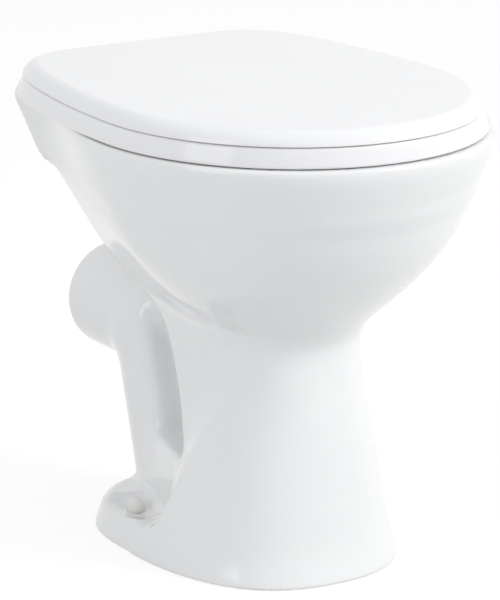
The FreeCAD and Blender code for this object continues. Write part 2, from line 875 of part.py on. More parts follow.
def seat_ring():
    """Seat with its mouth, and notches and knuckles for the hinges."""
    body = seat_blank()
    cuts = [box(-seat_half_width, seat_half_width, hinge_place - seat_rear_gap,
                seat_back + overrun, seat_underside - overrun, seat_top + overrun)]
    knuckles = []
    for x in hinge_sides():
        lid_low, lid_high = knuckle_span(x, False)
        seat_low, seat_high = knuckle_span(x, True)
        inner = lid_low - seat_notch_gap if x > 0 else lid_high + seat_notch_gap
        outer = seat_low if x > 0 else seat_high
        cuts.append(box(min(inner, outer), max(inner, outer), hinge_place - seat_notch_depth,
                        seat_back + overrun, seat_underside - overrun, seat_top + overrun))
        knuckles.append(cross_pin(knuckle_radius, seat_low, seat_high))
        knuckles.append(box(seat_low, seat_high, hinge_place - 2 * knuckle_radius, hinge_place,
                            hinge_height - knuckle_radius, seat_top))
    body = joined([cut_away(body, [seat_mouth()] + cuts)] + knuckles)
    bores = [cross_pin(pin_radius + pin_running_gap, *knuckle_span(x, True))
             for x in hinge_sides()]
    plugs = [upright(buffer_plug_radius, x, y, seat_underside - overrun,
                     seat_underside + buffer_plug_length)
             for x, y in seat_buffer_places()]
    return cut_away(body, bores + plugs)


def seat_mouth():
    """Opening of the seat, whose upper edge is rounded over."""
    sections = [seat_mouth_section(0, seat_underside - overrun)]
    for step in range(mouth_edge_steps + 1):
        angle = math.pi / 2 * step / mouth_edge_steps
        sections.append(seat_mouth_section(seat_mouth_radius * (1 - math.cos(angle)),
                                           seat_top - seat_mouth_radius * (1 - math.sin(angle))))
    sections.append(seat_mouth_section(seat_mouth_radius, seat_top + overrun))
    return Part.makeLoft(sections, True, True)


def seat_mouth_section(growth, z):
    return oval(seat_mouth_half_width + growth, seat_mouth_front + growth,
                seat_mouth_back + growth, z, seat_mouth_power, seat_mouth_power)


def buffer_places(shares, half_width, front):
    places = []
    for width_share, front_share in shares:
        for side in (-1, 1):
            places.append((side * width_share * half_width, front_share * front))
    return places


def seat_buffer_places():
    return buffer_places(SEAT_BUFFER_SHARES, seat_half_width, seat_front)


def lid_buffer_places():
    return buffer_places(LID_BUFFER_SHARES, lid_half_width, lid_front)


def seat_buffer(x, y):
    """Rubber pad with a plug that sits in the seat's underside."""
    low = rim_height + buffer_gap
    pad = upright(buffer_radius, x, y, low, seat_underside)
    pad = pad.makeFillet(buffer_edge_radius, level_edges(pad, low))
    plug = upright(buffer_plug_radius, x, y, seat_underside - overrun,
                   seat_underside + buffer_plug_length)
    return joined([pad, plug])


def lid_inset(inset, z):
    return cover_outline(lid_half_width - inset, lid_front - inset, lid_back - inset, z)


def lid_inside_top():
    return lid_underside + lid_edge_height - lid_skin


def lid_shell():
    """Outer form of the lid less its hollow underside."""
    sections = []
    for step in range(lid_edge_steps + 1):
        angle = math.pi / 2 * step / lid_edge_steps
        rise = math.sin(angle) ** (2 / lid_edge_power)
        inset = 1 - math.cos(angle) ** (2 / lid_edge_power)
        sections.append(lid_inset(lid_edge_width * inset, lid_underside + lid_edge_height * rise))
    rim = Part.makeLoft(sections, True, True)
    top = lid_underside + lid_edge_height
    crown_top = Part.makeLoft([lid_inset(lid_edge_width, top),
                               lid_inset(lid_edge_width + lid_crown_width, top + lid_crown)],
                              True, True)
    inside_low = lid_underside - overrun
    insides = [lid_inset(lid_skin, inside_low)]
    for rise, width in LID_INSIDE_SHARES:
        z = lid_underside + (lid_inside_top() - lid_underside) * rise
        insides.append(lid_inset(lid_skin + lid_edge_width * width, z))
    inside = Part.makeLoft(insides, True, True)
    return cut_away(rim.fuse(crown_top), [inside])


def lid():
    """Lid with its knuckles. Slots in its rear edge clear the posts and the seat's knuckles."""
    body = lid_shell()
    knuckles = []
    for x in hinge_sides():
        low, high = knuckle_span(x, False)
        knuckles.append(cross_pin(knuckle_radius, low, high))
        knuckles.append(box(low, high, hinge_place - knuckle_radius, hinge_place + pin_radius,
                            hinge_height, lid_inside_top() + lid_skin / 2))
    body = joined([body] + knuckles)
    cuts = []
    for x in hinge_sides():
        half = post_width / 2 + knuckle_gap
        seat_low, seat_high = knuckle_span(x, True)
        cuts.append(box(min(x - half, seat_low - knuckle_gap),
                        max(x + half, seat_high + knuckle_gap),
                        hinge_place - lid_slot_front, lid_back + overrun,
                        lid_underside - overrun, lid_underside + lid_edge_height + overrun))
        low, high = knuckle_span(x, False)
        cuts.append(cross_pin(pin_radius + pin_running_gap, low - overrun, high + overrun))
    return cut_away(body, cuts)


def lid_buffer(x, y):
    """Rubber stud inside the lid that meets the seat."""
    low = seat_top + buffer_gap
    stud = upright(lid_buffer_radius, x, y, low, lid_inside_top())
    return stud.makeFillet(lid_buffer_edge_radius, level_edges(stud, low))


def cap_washer(x):
    disc = upright(cap_radius - cap_wall - cap_washer_gap, x, screw_line, screw_dish_floor,
                   screw_dish_floor + cap_washer_height)
    return disc.cut(upright(cap_washer_hole_radius, x, screw_line, screw_dish_floor - overrun,
                            screw_dish_floor + cap_washer_height + overrun))


def floor_screw_cap(x):
    """Domed cap over the floor screw: a thin half ball on a short straight skirt."""
    low = screw_dish_floor + cap_lift_gap
    centre = screw_dish_floor + cap_height - cap_radius
    inner = cap_radius - cap_wall
    outline = [
        Part.makeLine(Vector(inner, 0, low), Vector(cap_radius, 0, low)),
        Part.makeLine(Vector(cap_radius, 0, low), Vector(cap_radius, 0, centre)),
        quarter_arc(cap_radius, centre),
        Part.makeLine(Vector(0, 0, centre + cap_radius), Vector(0, 0, centre + inner)),
        quarter_arc(inner, centre),
        Part.makeLine(Vector(inner, 0, centre), Vector(inner, 0, low)),
    ]
    face = Part.Face(Part.Wire(outline))
    cap = face.revolve(Vector(0, 0, 0), Vector(0, 0, 1), full_turn)
    cap.translate(Vector(x, screw_line, 0))
    return cap


def quarter_arc(radius, height):
    """Arc from the top of a half ball down to its widest circle."""
    slant = radius / math.sqrt(2)
    return Part.Arc(Vector(0, 0, height + radius), Vector(slant, 0, height + slant),
                    Vector(radius, 0, height)).toShape()


def save(shape, name):
    """Write one solid, moved so that the origin is on the floor screws' line."""
    solid = only_solid(shape)
    if not solid.isValid():
        raise RuntimeError(name + " is not a valid solid")
    solid.translate(Vector(0, -screw_line, 0))
    solid.exportStep("parts/" + name + ".step")
    print(name, round(solid.Volume / cm3), "cm3")


def save_pairs():
    """The pieces that there are two of, left and right."""
    makers = [hinge_post, hinge_pin, hinge_gasket, hinge_bolt, bolt_cone, bolt_washer, wing_nut]
    for side, x in zip(("left", "right"), hinge_sides()):
        for maker in makers:
            save(maker(x), maker.__name__ + "_" + side)
    for side, x in (("left", -screw_spacing / 2), ("right", screw_spacing / 2)):
        for maker in (cap_washer, floor_screw_cap):
            save(maker(x), maker.__name__ + "_" + side)


def save_buffers():
    names = ("front_left", "front_right", "back_left", "back_right")
    for name, (x, y) in zip(names, seat_buffer_places()):
        save(seat_buffer(x, y), "seat_buffer_" + name)
    for name, (x, y) in zip(names, lid_buffer_places()):
        save(lid_buffer(x, y), "lid_buffer_" + name)


if __name__ == "__main__":
    os.makedirs("parts", exist_ok=True)
    save_pairs()
    save_buffers()
    save(seat_ring(), "seat_ring")
    save(lid(), "lid")
    save(pan(), "pan")
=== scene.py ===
"""Floor-standing toilet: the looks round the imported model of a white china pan, seat and lid."""

import math

import bpy
import numpy as np
from bpy.props import FloatProperty, FloatVectorProperty, PointerProperty
from bpy.types import Operator, Panel, PropertyGroup
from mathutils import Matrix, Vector


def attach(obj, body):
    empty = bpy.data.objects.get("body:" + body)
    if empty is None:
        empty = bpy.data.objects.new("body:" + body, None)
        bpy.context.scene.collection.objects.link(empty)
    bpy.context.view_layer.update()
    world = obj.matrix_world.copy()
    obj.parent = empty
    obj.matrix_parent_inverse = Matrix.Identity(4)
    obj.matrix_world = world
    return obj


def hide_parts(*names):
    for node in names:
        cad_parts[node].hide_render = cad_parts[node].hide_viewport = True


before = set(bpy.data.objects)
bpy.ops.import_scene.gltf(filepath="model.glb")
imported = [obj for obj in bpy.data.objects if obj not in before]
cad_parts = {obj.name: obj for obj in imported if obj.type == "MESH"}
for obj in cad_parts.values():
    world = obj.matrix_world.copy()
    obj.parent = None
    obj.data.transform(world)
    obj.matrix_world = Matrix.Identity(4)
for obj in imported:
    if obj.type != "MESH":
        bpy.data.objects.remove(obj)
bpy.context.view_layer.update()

bl_info = {
    "name": "Floor-standing toilet",
    "version": (1, 0, 0),
    "blender": (4, 5, 0),
    "location": "View3D > Sidebar > Toilet",
    "description": "White china pan with a seat and a lid, on a pale studio floor",
    "category": "Object",
}

# Shapes are laid out in millimetres from the rim's widest place. The frame's origin is
# midway between the floor screws, this far behind it.
SCREW_LINE = 117.0
MM = 0.001

# Outer form of bowl, neck and front column, level by level: shares of rim height, half
# width, deck reach (widest place), nose reach, then the power of the front curve, the
# share of half width at the rear, shares of deck reach where the side has come in and
# where the rear is, and the rear corner's rounding as a share of the half width.
BODY_LEVEL_SHARES = (
    (1.000, 1.000, 0.000, 1.000, 2.02, 0.758, 0.830, 0.996, 0.111),
    (0.987, 1.000, 0.000, 1.000, 2.02, 0.758, 0.830, 0.996, 0.111),
    (0.941, 0.975, 0.000, 0.974, 2.02, 0.744, 0.826, 0.949, 0.106),
    (0.901, 0.945, 0.000, 0.941, 2.02, 0.727, 0.822, 0.907, 0.095),
    (0.873, 0.929, 0.000, 0.922, 2.00, 0.716, 0.814, 0.872, 0.078),
    (0.855, 0.913, 0.000, 0.903, 2.00, 0.708, 0.810, 0.836, 0.056),
    (0.837, 0.893, 0.000, 0.883, 2.00, 0.694, 0.802, 0.722, 0.045),
    (0.805, 0.866, 0.000, 0.855, 2.00, 0.659, 0.789, 0.702, 0.045),
    (0.754, 0.809, 0.000, 0.798, 2.00, 0.603, 0.761, 0.666, 0.045),
    (0.694, 0.707, 0.000, 0.706, 2.00, 0.544, 0.721, 0.619, 0.045),
    (0.638, 0.592, 0.000, 0.596, 2.00, 0.481, 0.664, 0.565, 0.045),
    (0.592, 0.482, 0.004, 0.490, 2.00, 0.416, 0.611, 0.510, 0.045),
    (0.557, 0.409, 0.008, 0.415, 2.10, 0.370, 0.559, 0.465, 0.045),
    (0.519, 0.370, 0.008, 0.371, 2.30, 0.348, 0.445, 0.404, 0.045),
    (0.455, 0.368, 0.000, 0.374, 2.40, 0.345, 0.300, 0.352, 0.045),
    (0.380, 0.404, -0.024, 0.392, 2.15, 0.340, 0.324, 0.312, 0.045),
    (0.296, 0.443, -0.016, 0.408, 2.25, 0.373, 0.283, 0.243, 0.045),
    (0.223, 0.485, 0.032, 0.418, 2.37, 0.401, 0.251, 0.202, 0.045),
    (0.147, 0.535, 0.097, 0.436, 2.41, 0.429, 0.291, 0.239, 0.045),
    (0.076, 0.585, 0.150, 0.452, 2.41, 0.435, 0.348, 0.296, 0.045),
    (0.030, 0.618, 0.194, 0.482, 2.40, 0.440, 0.405, 0.356, 0.045),
    (0.000, 0.646, 0.227, 0.520, 2.40, 0.446, 0.437, 0.397, 0.045),
)

# Inside of the bowl and well: share of the height under the rim, of the half width, of
# the nose reach and of the deck reach.
WELL_LEVEL_SHARES = (
    (1.000, 0.850, 0.855, 0.437),
    (0.922, 0.785, 0.785, 0.421),
    (0.829, 0.665, 0.670, 0.393),
    (0.739, 0.521, 0.535, 0.356),
    (0.670, 0.380, 0.397, 0.332),
    (0.594, 0.290, 0.291, 0.324),
    (0.493, 0.301, 0.271, 0.300),
    (0.377, 0.290, 0.281, 0.240),
    (0.261, 0.267, 0.271, 0.206),
    (0.174, 0.234, 0.221, 0.194),
    (0.107, 0.201, 0.171, 0.186),
    (0.035, 0.123, 0.080, 0.146),
)

# The column's crease on each side: height, and place behind the rim's widest.
CREASE = ((0.0, 62.0), (12.0, 54.0), (30.0, 42.0), (58.0, 30.0), (88.0, 20.0), (117.0, 5.0),
          (143.0, -13.0), (163.0, -21.0), (186.0, -27.0), (230.0, -30.0))

# Trap leg: its place at the floor, its lean back per unit of height and the cosine of
# that lean; then the elbow's place and the flush inlet's height.
LEG_FOOT, LEG_LEAN, LEG_COSINE = 145.0, 0.305, 0.957
ELBOW_BACK = 197.0
FLUSH_HEIGHT = 350.0

# The casting's grid: its sides, front and back, and the planes in it that are bent on to
# the body's rear corners.
GRID_SIDE, GRID_FRONT, GRID_BACK = 186, -206, 303
BENT_ACROSS, BENT_BACK = 80, 130

# Back edges of seat and lid before their corners are cut, the hinge pins' line, and the
# turn over which an edge is sharp.
SEAT_BACK, LID_BACK = 254.0, 248.7
HINGE_LINE = (0.0, 238.0, 412.0)
SHARP_TURN = math.radians(38)

# Lamps: name, place, point that each lights, width, depth and watts.
LAMPS = (
    ("key", (1.85, -2.35, 2.1), (0.0, -0.05, 0.2), 1.3, 1.3, 56.0),
    ("side", (-2.8, -0.6, 1.35), (0.0, 0.0, 0.2), 1.4, 1.8, 14.0),
    ("top", (0.0, 0.4, 2.8), (0.0, 0.0, 0.2), 2.2, 2.2, 3.0),
)
CAMERA_PLACE, CAMERA_TARGET = (-1.5974, -2.6692, 1.0702), (-0.0187, -0.0986, 0.2318)
CAMERA_LENS = 213.3


def length(name, description, default):
    """A length property whose default is given in millimetres."""
    return FloatProperty(name=name, description=description, default=default * MM,
                         min=0.0, unit="LENGTH", subtype="DISTANCE", precision=4)


def tint(name, description, default):
    """A colour property."""
    return FloatVectorProperty(name=name, description=description, default=default,
                               min=0.0, max=1.0, size=3, subtype="COLOR")


class ToiletPanSizes(PropertyGroup):
    rim_height: length("Rim height", "Top of the rim over the floor", 395.0)
    rim_half_width: length("Rim half width", "Half the rim's greatest width", 179.5)
    nose_reach: length("Nose reach", "Rim's nose before its widest place", 199.0)
    deck_reach: length("Deck reach", "Back of the deck behind the rim's widest place", 247.0)
    wall: length("Wall", "Thickness of the casting", 11.0)
    outlet_radius: length("Outlet radius", "Outer radius of the spigot", 51.0)
    outlet_reach: length("Outlet reach", "Spigot's end behind the rim's widest place", 297.0)
    outlet_height: length("Outlet height", "Middle of the spigot over the floor", 172.5)
    foot_half_width: length("Foot half width", "Half the foot's width at its back", 117.0)
    dish_depth: length("Dish depth", "Depth of the dish round a floor screw", 7.0)


class ToiletSeatSizes(PropertyGroup):
    seat_half_width: length("Seat half width", "Half the seat's width", 176.2)
    seat_front: length("Seat front", "Seat's nose before the rim's widest place", 193.0)
    seat_underside: length("Seat underside", "Height of the seat's underside", 397.0)
    seat_top: length("Seat top", "Height of the seat's top", 412.4)
    lid_half_width: length("Lid half width", "Half the lid's width", 170.6)
    lid_front: length("Lid front", "Lid's nose before the rim's widest place", 187.4)
    lid_underside: length("Lid underside", "Height of the lid's lower edge", 413.4)
    lid_edge_height: length("Lid edge height", "Height of the lid's rounded edge", 12.2)
    cap_radius: length("Cap radius", "Radius of a floor screw's cap", 8.0)
    cap_height: length("Cap height", "Height of a floor screw's cap", 13.5)


class ToiletColours(PropertyGroup):
    glaze: tint("Glaze", "White of the glazed china", (0.87, 0.875, 0.875))
    seat: tint("Seat", "White of seat and lid", (0.89, 0.892, 0.895))
    cap: tint("Caps", "Warm white of the screw caps", (0.84, 0.825, 0.79))
    post: tint("Posts", "White of the hinge posts", (0.84, 0.84, 0.84))
    nut: tint("Nuts", "Natural plastic of nuts and washers", (0.76, 0.76, 0.74))
    steel: tint("Steel", "Ground steel of pins and bolts", (0.60, 0.60, 0.61))
    rubber: tint("Rubber", "Grey of gaskets and cones", (0.055, 0.055, 0.058))
    pad: tint("Pads", "Pale grey of the buffers", (0.62, 0.62, 0.60))
    floor: tint("Floor", "Pale studio floor", (0.70, 0.70, 0.70))


# Curves and fields

def smooth_curve(levels, heights):
    """Values of every column at the heights, on monotone cubics through the levels."""
    table = np.array(sorted(levels))
    height, value = table[:, :1], table[:, 1:]
    step = np.diff(height, axis=0)
    secant = np.diff(value, axis=0) / step
    product = secant[:-1] * secant[1:]
    total = np.where(product > 0, secant[:-1] + secant[1:], 1)
    inner = np.where(product > 0, 2 * product / total, 0)
    slope = np.vstack([secant[:1], inner, secant[-1:]])
    k = np.clip(np.searchsorted(height[:, 0], heights) - 1, 0, len(height) - 2)
    s = np.clip((heights - height[k, 0]) / step[k, 0], 0, 1)[:, None]
    return (value[k] * (1 + 2 * s) * (1 - s) ** 2 + slope[k] * step[k] * s * (1 - s) ** 2
            + value[k + 1] * s ** 2 * (3 - 2 * s)
            + slope[k + 1] * step[k] * s ** 2 * (s - 1))


def evened(values, spread):
    """Columns of values averaged with a bell curve of that spread, in samples."""
    reach = int(3 * spread)
    bell = np.exp(-0.5 * (np.arange(-reach, reach + 1) / spread) ** 2)
    bell /= bell.sum()
    padded = np.pad(values, ((reach, reach), (0, 0)), mode="edge")
    return np.stack([np.convolve(column, bell, mode="valid") for column in padded.T], 1)


def blend_min(a, b, width):
    """The smaller of two fields, rounded over where they are within width."""
    h = np.clip(0.5 + 0.5 * (b - a) / width, 0, 1)
    return b + (a - b) * h - width * h * (1 - h)


def blend_max(a, b, width):
    return -blend_min(-a, -b, width)


def ramp(value, low, high):
    """0 below low, 1 above high, along 3 s^2 - 2 s^3 between them."""
    s = np.clip((value - low) / (high - low), 0, 1)
    return s * s * (3 - 2 * s)


def oval_distance(x, y, half_width, reach, power):
    """Nearly the distance from |x / half_width|^power + |y / reach|^power = 1."""
    u = np.abs(x) / half_width + 1e-6
    v = np.abs(y) / reach + 1e-6
    rho = (u ** power + v ** power) ** (1 / power)
    steepness = rho ** (1 - power) * np.hypot(u ** (power - 1) / half_width,
                                              v ** (power - 1) / reach)
    return (rho - 1) / steepness


def egg_distance(x, y, half_width, front, back, front_power=2.15, back_power=2.15):
    """Nearly the distance from two half ovals that meet at y = 0."""
    return np.where(y < 0, oval_distance(x, y, half_width, front, front_power),
                    oval_distance(x, y, half_width, back, back_power))


def upright_distance(section, x, y, z):
    """A level section's distance, times the cosine of the wall's slope there."""
    slope = (section(x, y, z + 1) - section(x, y, z - 1)) / 2
    return section(x, y, z) / np.sqrt(1 + np.minimum(slope ** 2, 9))


def rod_distance(x, y, z, start, end, radius):
    """Distance from a round rod with ball ends."""
    start, end = np.array(start), np.array(end)
    d = end - start
    s = np.clip(((x - start[0]) * d[0] + (y - start[1]) * d[1] + (z - start[2]) * d[2])
                / (d @ d), 0, 1)
    return np.sqrt((x - start[0] - s * d[0]) ** 2 + (y - start[1] - s * d[1]) ** 2
                   + (z - start[2] - s * d[2]) ** 2) - radius


class PanForm:
    """The casting as one field: below zero in the china, zero on its skin.

    Bowl and column, leg, elbow, spigot, web, saddle, foot and inlet boss are joined with
    blended minima, and the hollows are taken out with blended maxima.
    """

    def __init__(self, sizes):
        (self.rim, self.half, self.nose, self.deck, self.wall, self.outlet, self.reach,
         self.axis, self.foot, self.dish) = [getattr(sizes, name) / MM
                                             for name in ToiletPanSizes.__annotations__]
        self.heights = np.arange(-20.0, 420.0, 0.5)
        rows = smooth_curve(BODY_LEVEL_SHARES, np.clip(self.heights / self.rim, 0, 1))
        fine = evened(rows, 6.0)
        broad = evened(rows, 18.0)
        fine[:, 6] = evened(rows[:, 6:7], 3.0)[:, 0]
        high = ramp(self.heights, 185.0, 245.0)[:, None]
        self.body_columns = (broad * (1 - high) + fine * high) * [
            self.half, self.deck, -self.nose, 1, self.half, self.deck, self.deck, self.half]
        crease_heights, crease_places = np.array(CREASE).T
        self.crease = evened(np.interp(self.heights, crease_heights, crease_places)[:, None],
                             12.0)[:, 0]
        self.under_rim = 345.0
        shares = np.clip(self.heights / self.under_rim, WELL_LEVEL_SHARES[-1][0], 1)
        self.well_columns = (evened(smooth_curve(WELL_LEVEL_SHARES, shares), 6.0)
                             * [self.half, self.nose, self.deck])

    def body_section(self, x, y, z):
        """Half a superellipse in front; sides that come in along an S; a flat rear.

        Under the rim a straight flank, bent only at its start, takes the S's place. Low on
        the column each side leaves a crease and is hollow behind it.
        """
        (width, widest, front, power, rear_width, settled, rear, rounding) = [
            np.interp(z, self.heights, column) for column in self.body_columns.T]
        across = np.abs(x)
        back = y - widest
        nose = np.where(back < 0, oval_distance(x, np.minimum(back, 0), width,
                                                widest - front, power), across - width)
        fall = width - rear_width
        under_rim = ramp(z, 205.0, 240.0) * (1 - ramp(z, 325.0, 365.0))
        bend, shorter, corner = 0.12, 0.12, 4
        span = (settled - widest) * (1 - shorter * under_rim)
        share = np.clip(back / span, 0, 1)
        curved = share ** 2 * (3 - 2 * share)
        whole = math.hypot(1, bend) - bend
        straight = (np.hypot(share, bend) - bend) / whole
        drop = fall * (curved + (straight - curved) * under_rim)
        curved_slope = 6 * share * (1 - share)
        straight_slope = share / np.hypot(share, bend) / whole
        slope = fall * (curved_slope + (straight_slope - curved_slope) * under_rim) / span
        side = (across - width + drop) / np.sqrt(1 + slope ** 2)
        plain = np.where(back < 0, nose, side)
        crease = np.interp(z, self.heights, self.crease)
        flank = rear - corner - crease
        ahead = 1 - np.clip((y - crease) / flank, 0, 1)
        slope = fall * 1.5 * ahead ** 0.5 / flank
        hollow = (across - width + fall * (1 - ahead ** 1.5)) / np.sqrt(1 + slope ** 2)
        low = 1 - ramp(z, 150.0, 210.0)
        wall = plain * (1 - low) + blend_max(nose, hollow, 3.0) * low
        return blend_max(wall, y - rear, rounding)

    def leg_distance(self, x, y, z, radius):
        """Leaning round passage from the foot up to the elbow."""
        top = self.axis
        place = LEG_FOOT + LEG_LEAN * np.minimum(z, top)
        return LEG_COSINE * (np.sqrt(x ** 2 + (y - place) ** 2
                                     + np.maximum(z - top, 0) ** 2) - radius)

    def leg_body(self, x, y, z):
        """Leaning leg, round behind and flat-sided in front, cut off along a slope."""
        half, front, cut_height = 50.0, 44.0, 190.0
        place = LEG_FOOT + LEG_LEAN * z
        round_back = np.hypot(x, np.maximum(y - place, 0)) - half
        upright = LEG_COSINE * blend_max(round_back, place - front - y, 15.0)
        cut = 0.59 * (y - ELBOW_BACK) + 0.81 * (z - cut_height)
        return blend_max(upright, cut, 24.0)

    def spigot_rod(self, x, y, z, radius):
        """Round rod from the elbow to well past the spigot's end."""
        return rod_distance(x, y, z, (0.0, ELBOW_BACK, self.axis),
                            (0.0, 500.0, self.axis), radius)

    def low_trap(self, x, z):
        """Nearly the distance from the oval channel between well and leg."""
        half_width, half_height, middle, mean = 33, 25, 37, 29
        return np.hypot(x / half_width, (z - middle) / half_height) * mean - mean

    def outer(self, x, y, z):
        """Skin of the whole casting without its hollows."""
        across = np.abs(x)
        crown_top, crown_radius = (0.0, 112.0, 236.0), 36.0
        web_half, web_front, web_back, web_low, web_top = 18, 30, 165, 30, 226
        saddle_half, saddle_front, saddle_back, saddle_top = 80, 28, 170, 84
        boss_radius, boss_front, boss_back = 36.5, 150, 240
        body = upright_distance(self.body_section, x, y, z)
        spigot = self.spigot_rod(x, y, z, self.outlet)
        crown = rod_distance(x, y, z, (0.0, ELBOW_BACK, self.axis), crown_top, crown_radius)
        tube = blend_min(blend_min(self.leg_body(x, y, z), spigot, 11.0), crown, 12.0)
        tube = blend_max(tube, y - self.reach, 7.0)
        web = np.maximum(np.maximum(across - web_half, np.maximum(web_front - y, y - web_back)),
                         np.maximum(z - web_top, web_low - z))
        shoulder = saddle_half - 29 * (y - saddle_front) / 110
        saddle = np.maximum(blend_max(0.96 * (across - shoulder), z - saddle_top, 8.0),
                            np.maximum(saddle_front - y, y - saddle_back))
        boss = np.hypot(x, z - FLUSH_HEIGHT) - boss_radius
        boss = np.maximum(blend_max(boss, y - boss_back, 6.0), boss_front - y)
        solid = body
        for part, width in ((tube, 8.0), (web, 12.0), (saddle, 9.0), (boss, 10.0),
                            (self.foot_plate(x, y, z), 9.0)):
            solid = blend_min(solid, part, width)
        solid = blend_max(solid, z - self.rim, 4.5)
        return blend_max(solid, -z, 3.0)

    def foot_plate(self, x, y, z):
        """Low flange round the back, with a dish round each floor screw."""
        middle, reach_ahead, reach_behind, height, taper = 88, 148.0, 119.0, 25, 0.35
        dish_side, dish_back, dish_half, dish_reach = 82, 112, 34, 46
        edge = egg_distance(x, y - middle, self.foot, reach_ahead, reach_behind, 3.0, 2.3)
        from_screw = np.hypot((np.abs(x) - dish_side) / dish_half, (y - dish_back) / dish_reach)
        top = height - self.dish * (1 - np.clip(from_screw, 0, 1.0) ** 2) ** 1.6
        return blend_max(edge + taper * np.maximum(z, 0), z - top, 8.0)

    def well_section(self, x, y, z):
        half, front, back = [np.interp(z, self.heights, c) for c in self.well_columns.T]
        return egg_distance(x, y, half, front, back)

    def inner(self, x, y, z):
        """Bowl, well, trap, leg, outlet and flush inlet."""
        well_floor, mouth_half, mouth_front, mouth_back = 12, 132.0, 150.0, 98.0
        trap_start, trap_end, leg_floor = 20, 160, 19
        well = upright_distance(self.well_section, x, y, z)
        well = blend_max(blend_max(well, z - self.under_rim, 8.0), well_floor - z, 8.0)
        mouth = egg_distance(x, y, mouth_half, mouth_front, mouth_back)
        mouth = np.maximum(mouth, self.under_rim - 5 - z)
        bowl = blend_min(well, mouth, 4.0)
        low = np.maximum(self.low_trap(x, z), np.maximum(trap_start - y, y - trap_end))
        leg = blend_max(self.leg_distance(x, y, z, 38.0), leg_floor - z, 10.0)
        bore = self.spigot_rod(x, y, z, 43.0)
        passage = blend_min(blend_min(low, leg, 8.0), bore, 14.0)
        inlet = np.maximum(np.hypot(x, z - FLUSH_HEIGHT) - 27.5, 198 - y)
        return np.minimum(blend_min(bowl, passage, 6.0), inlet)

    def underside(self, x, y, z):
        """Hollow of the column, open at the floor, and the rooms for the wing nuts."""
        room_top, nut_low, nut_side, nut_back, nut_half, nut_reach = 192, 280, 75, 194, 29, 14
        inside = upright_distance(self.body_section, x, y, z) + self.wall
        well = upright_distance(self.well_section, x, y, z) - self.wall
        low = np.maximum(self.low_trap(x, z) - self.wall, 20 - self.wall - y)
        room = np.maximum(np.maximum(inside, z - room_top), -np.minimum(well, low))
        nut_room = np.maximum(np.maximum(np.abs(np.abs(x) - nut_side) - nut_half,
                                         np.abs(y - nut_back) - nut_reach),
                              z - (self.rim - 14))
        return np.minimum(room, np.maximum(nut_room, nut_low - z))

    def distance(self, x, y, z):
        """The casting: its skin, its water way, its hollows and its screw holes."""
        screw_side, screw_radius, screw_top = 80, 5.5, 40
        bolt_side, bolt_back, bolt_radius, bolt_low = 77.5, 205, 7.5, 370
        solid = blend_max(self.outer(x, y, z), -self.inner(x, y, z), 5.0)
        solid = blend_max(solid, -self.underside(x, y, z), 3.0)
        across = np.abs(x)
        screw = np.hypot(across - screw_side, y - SCREW_LINE) - screw_radius
        bolt = np.hypot(across - bolt_side, y - bolt_back) - bolt_radius
        return np.maximum(solid, -np.minimum(np.maximum(screw, z - screw_top),
                                             np.maximum(bolt, bolt_low - z)))

    def bent(self, x, y, z):
        """Grid places, two of whose planes follow the body's rear corners."""
        columns = self.body_columns.T
        half = np.interp(z, self.heights, columns[4])
        rear = np.interp(z, self.heights, columns[6])
        rear = BENT_BACK + (rear - BENT_BACK) * (1 - ramp(z, 300.0, 345.0))
        across = np.abs(x)
        inner = across * half / BENT_ACROSS
        outer = (GRID_SIDE - (GRID_SIDE - across) * (GRID_SIDE - half)
                 / (GRID_SIDE - BENT_ACROSS))
        before = rear - (BENT_BACK - y) * (rear - GRID_FRONT) / (BENT_BACK - GRID_FRONT)
        behind = rear + (y - BENT_BACK) * (GRID_BACK - rear) / (GRID_BACK - BENT_BACK)
        return np.stack([np.sign(x) * np.where(across < BENT_ACROSS, inner, outer),
                         np.where(y < BENT_BACK, before, behind), z], -1)

    def change(self, points, step):
        """How much the field grows over two steps along each axis."""
        return np.stack([self.distance(*(points + step * axis).T)
                         - self.distance(*(points - step * axis).T)
                         for axis in np.eye(3)], 1)

    def normals(self, points):
        """Outward unit vectors: the field's change along each axis."""
        step = 0.4
        gradient = self.change(points, step)
        return gradient / np.maximum(np.linalg.norm(gradient, axis=1, keepdims=True), 1e-9)


def spans(*parts):
    """Grid places from runs of (low, high, step)."""
    places = [np.array([parts[0][0]])]
    for low, high, step in parts:
        count = max(1, round((high - low) / step))
        places.append(low + (high - low) * np.arange(1, count + 1) / count)
    return np.concatenate(places)


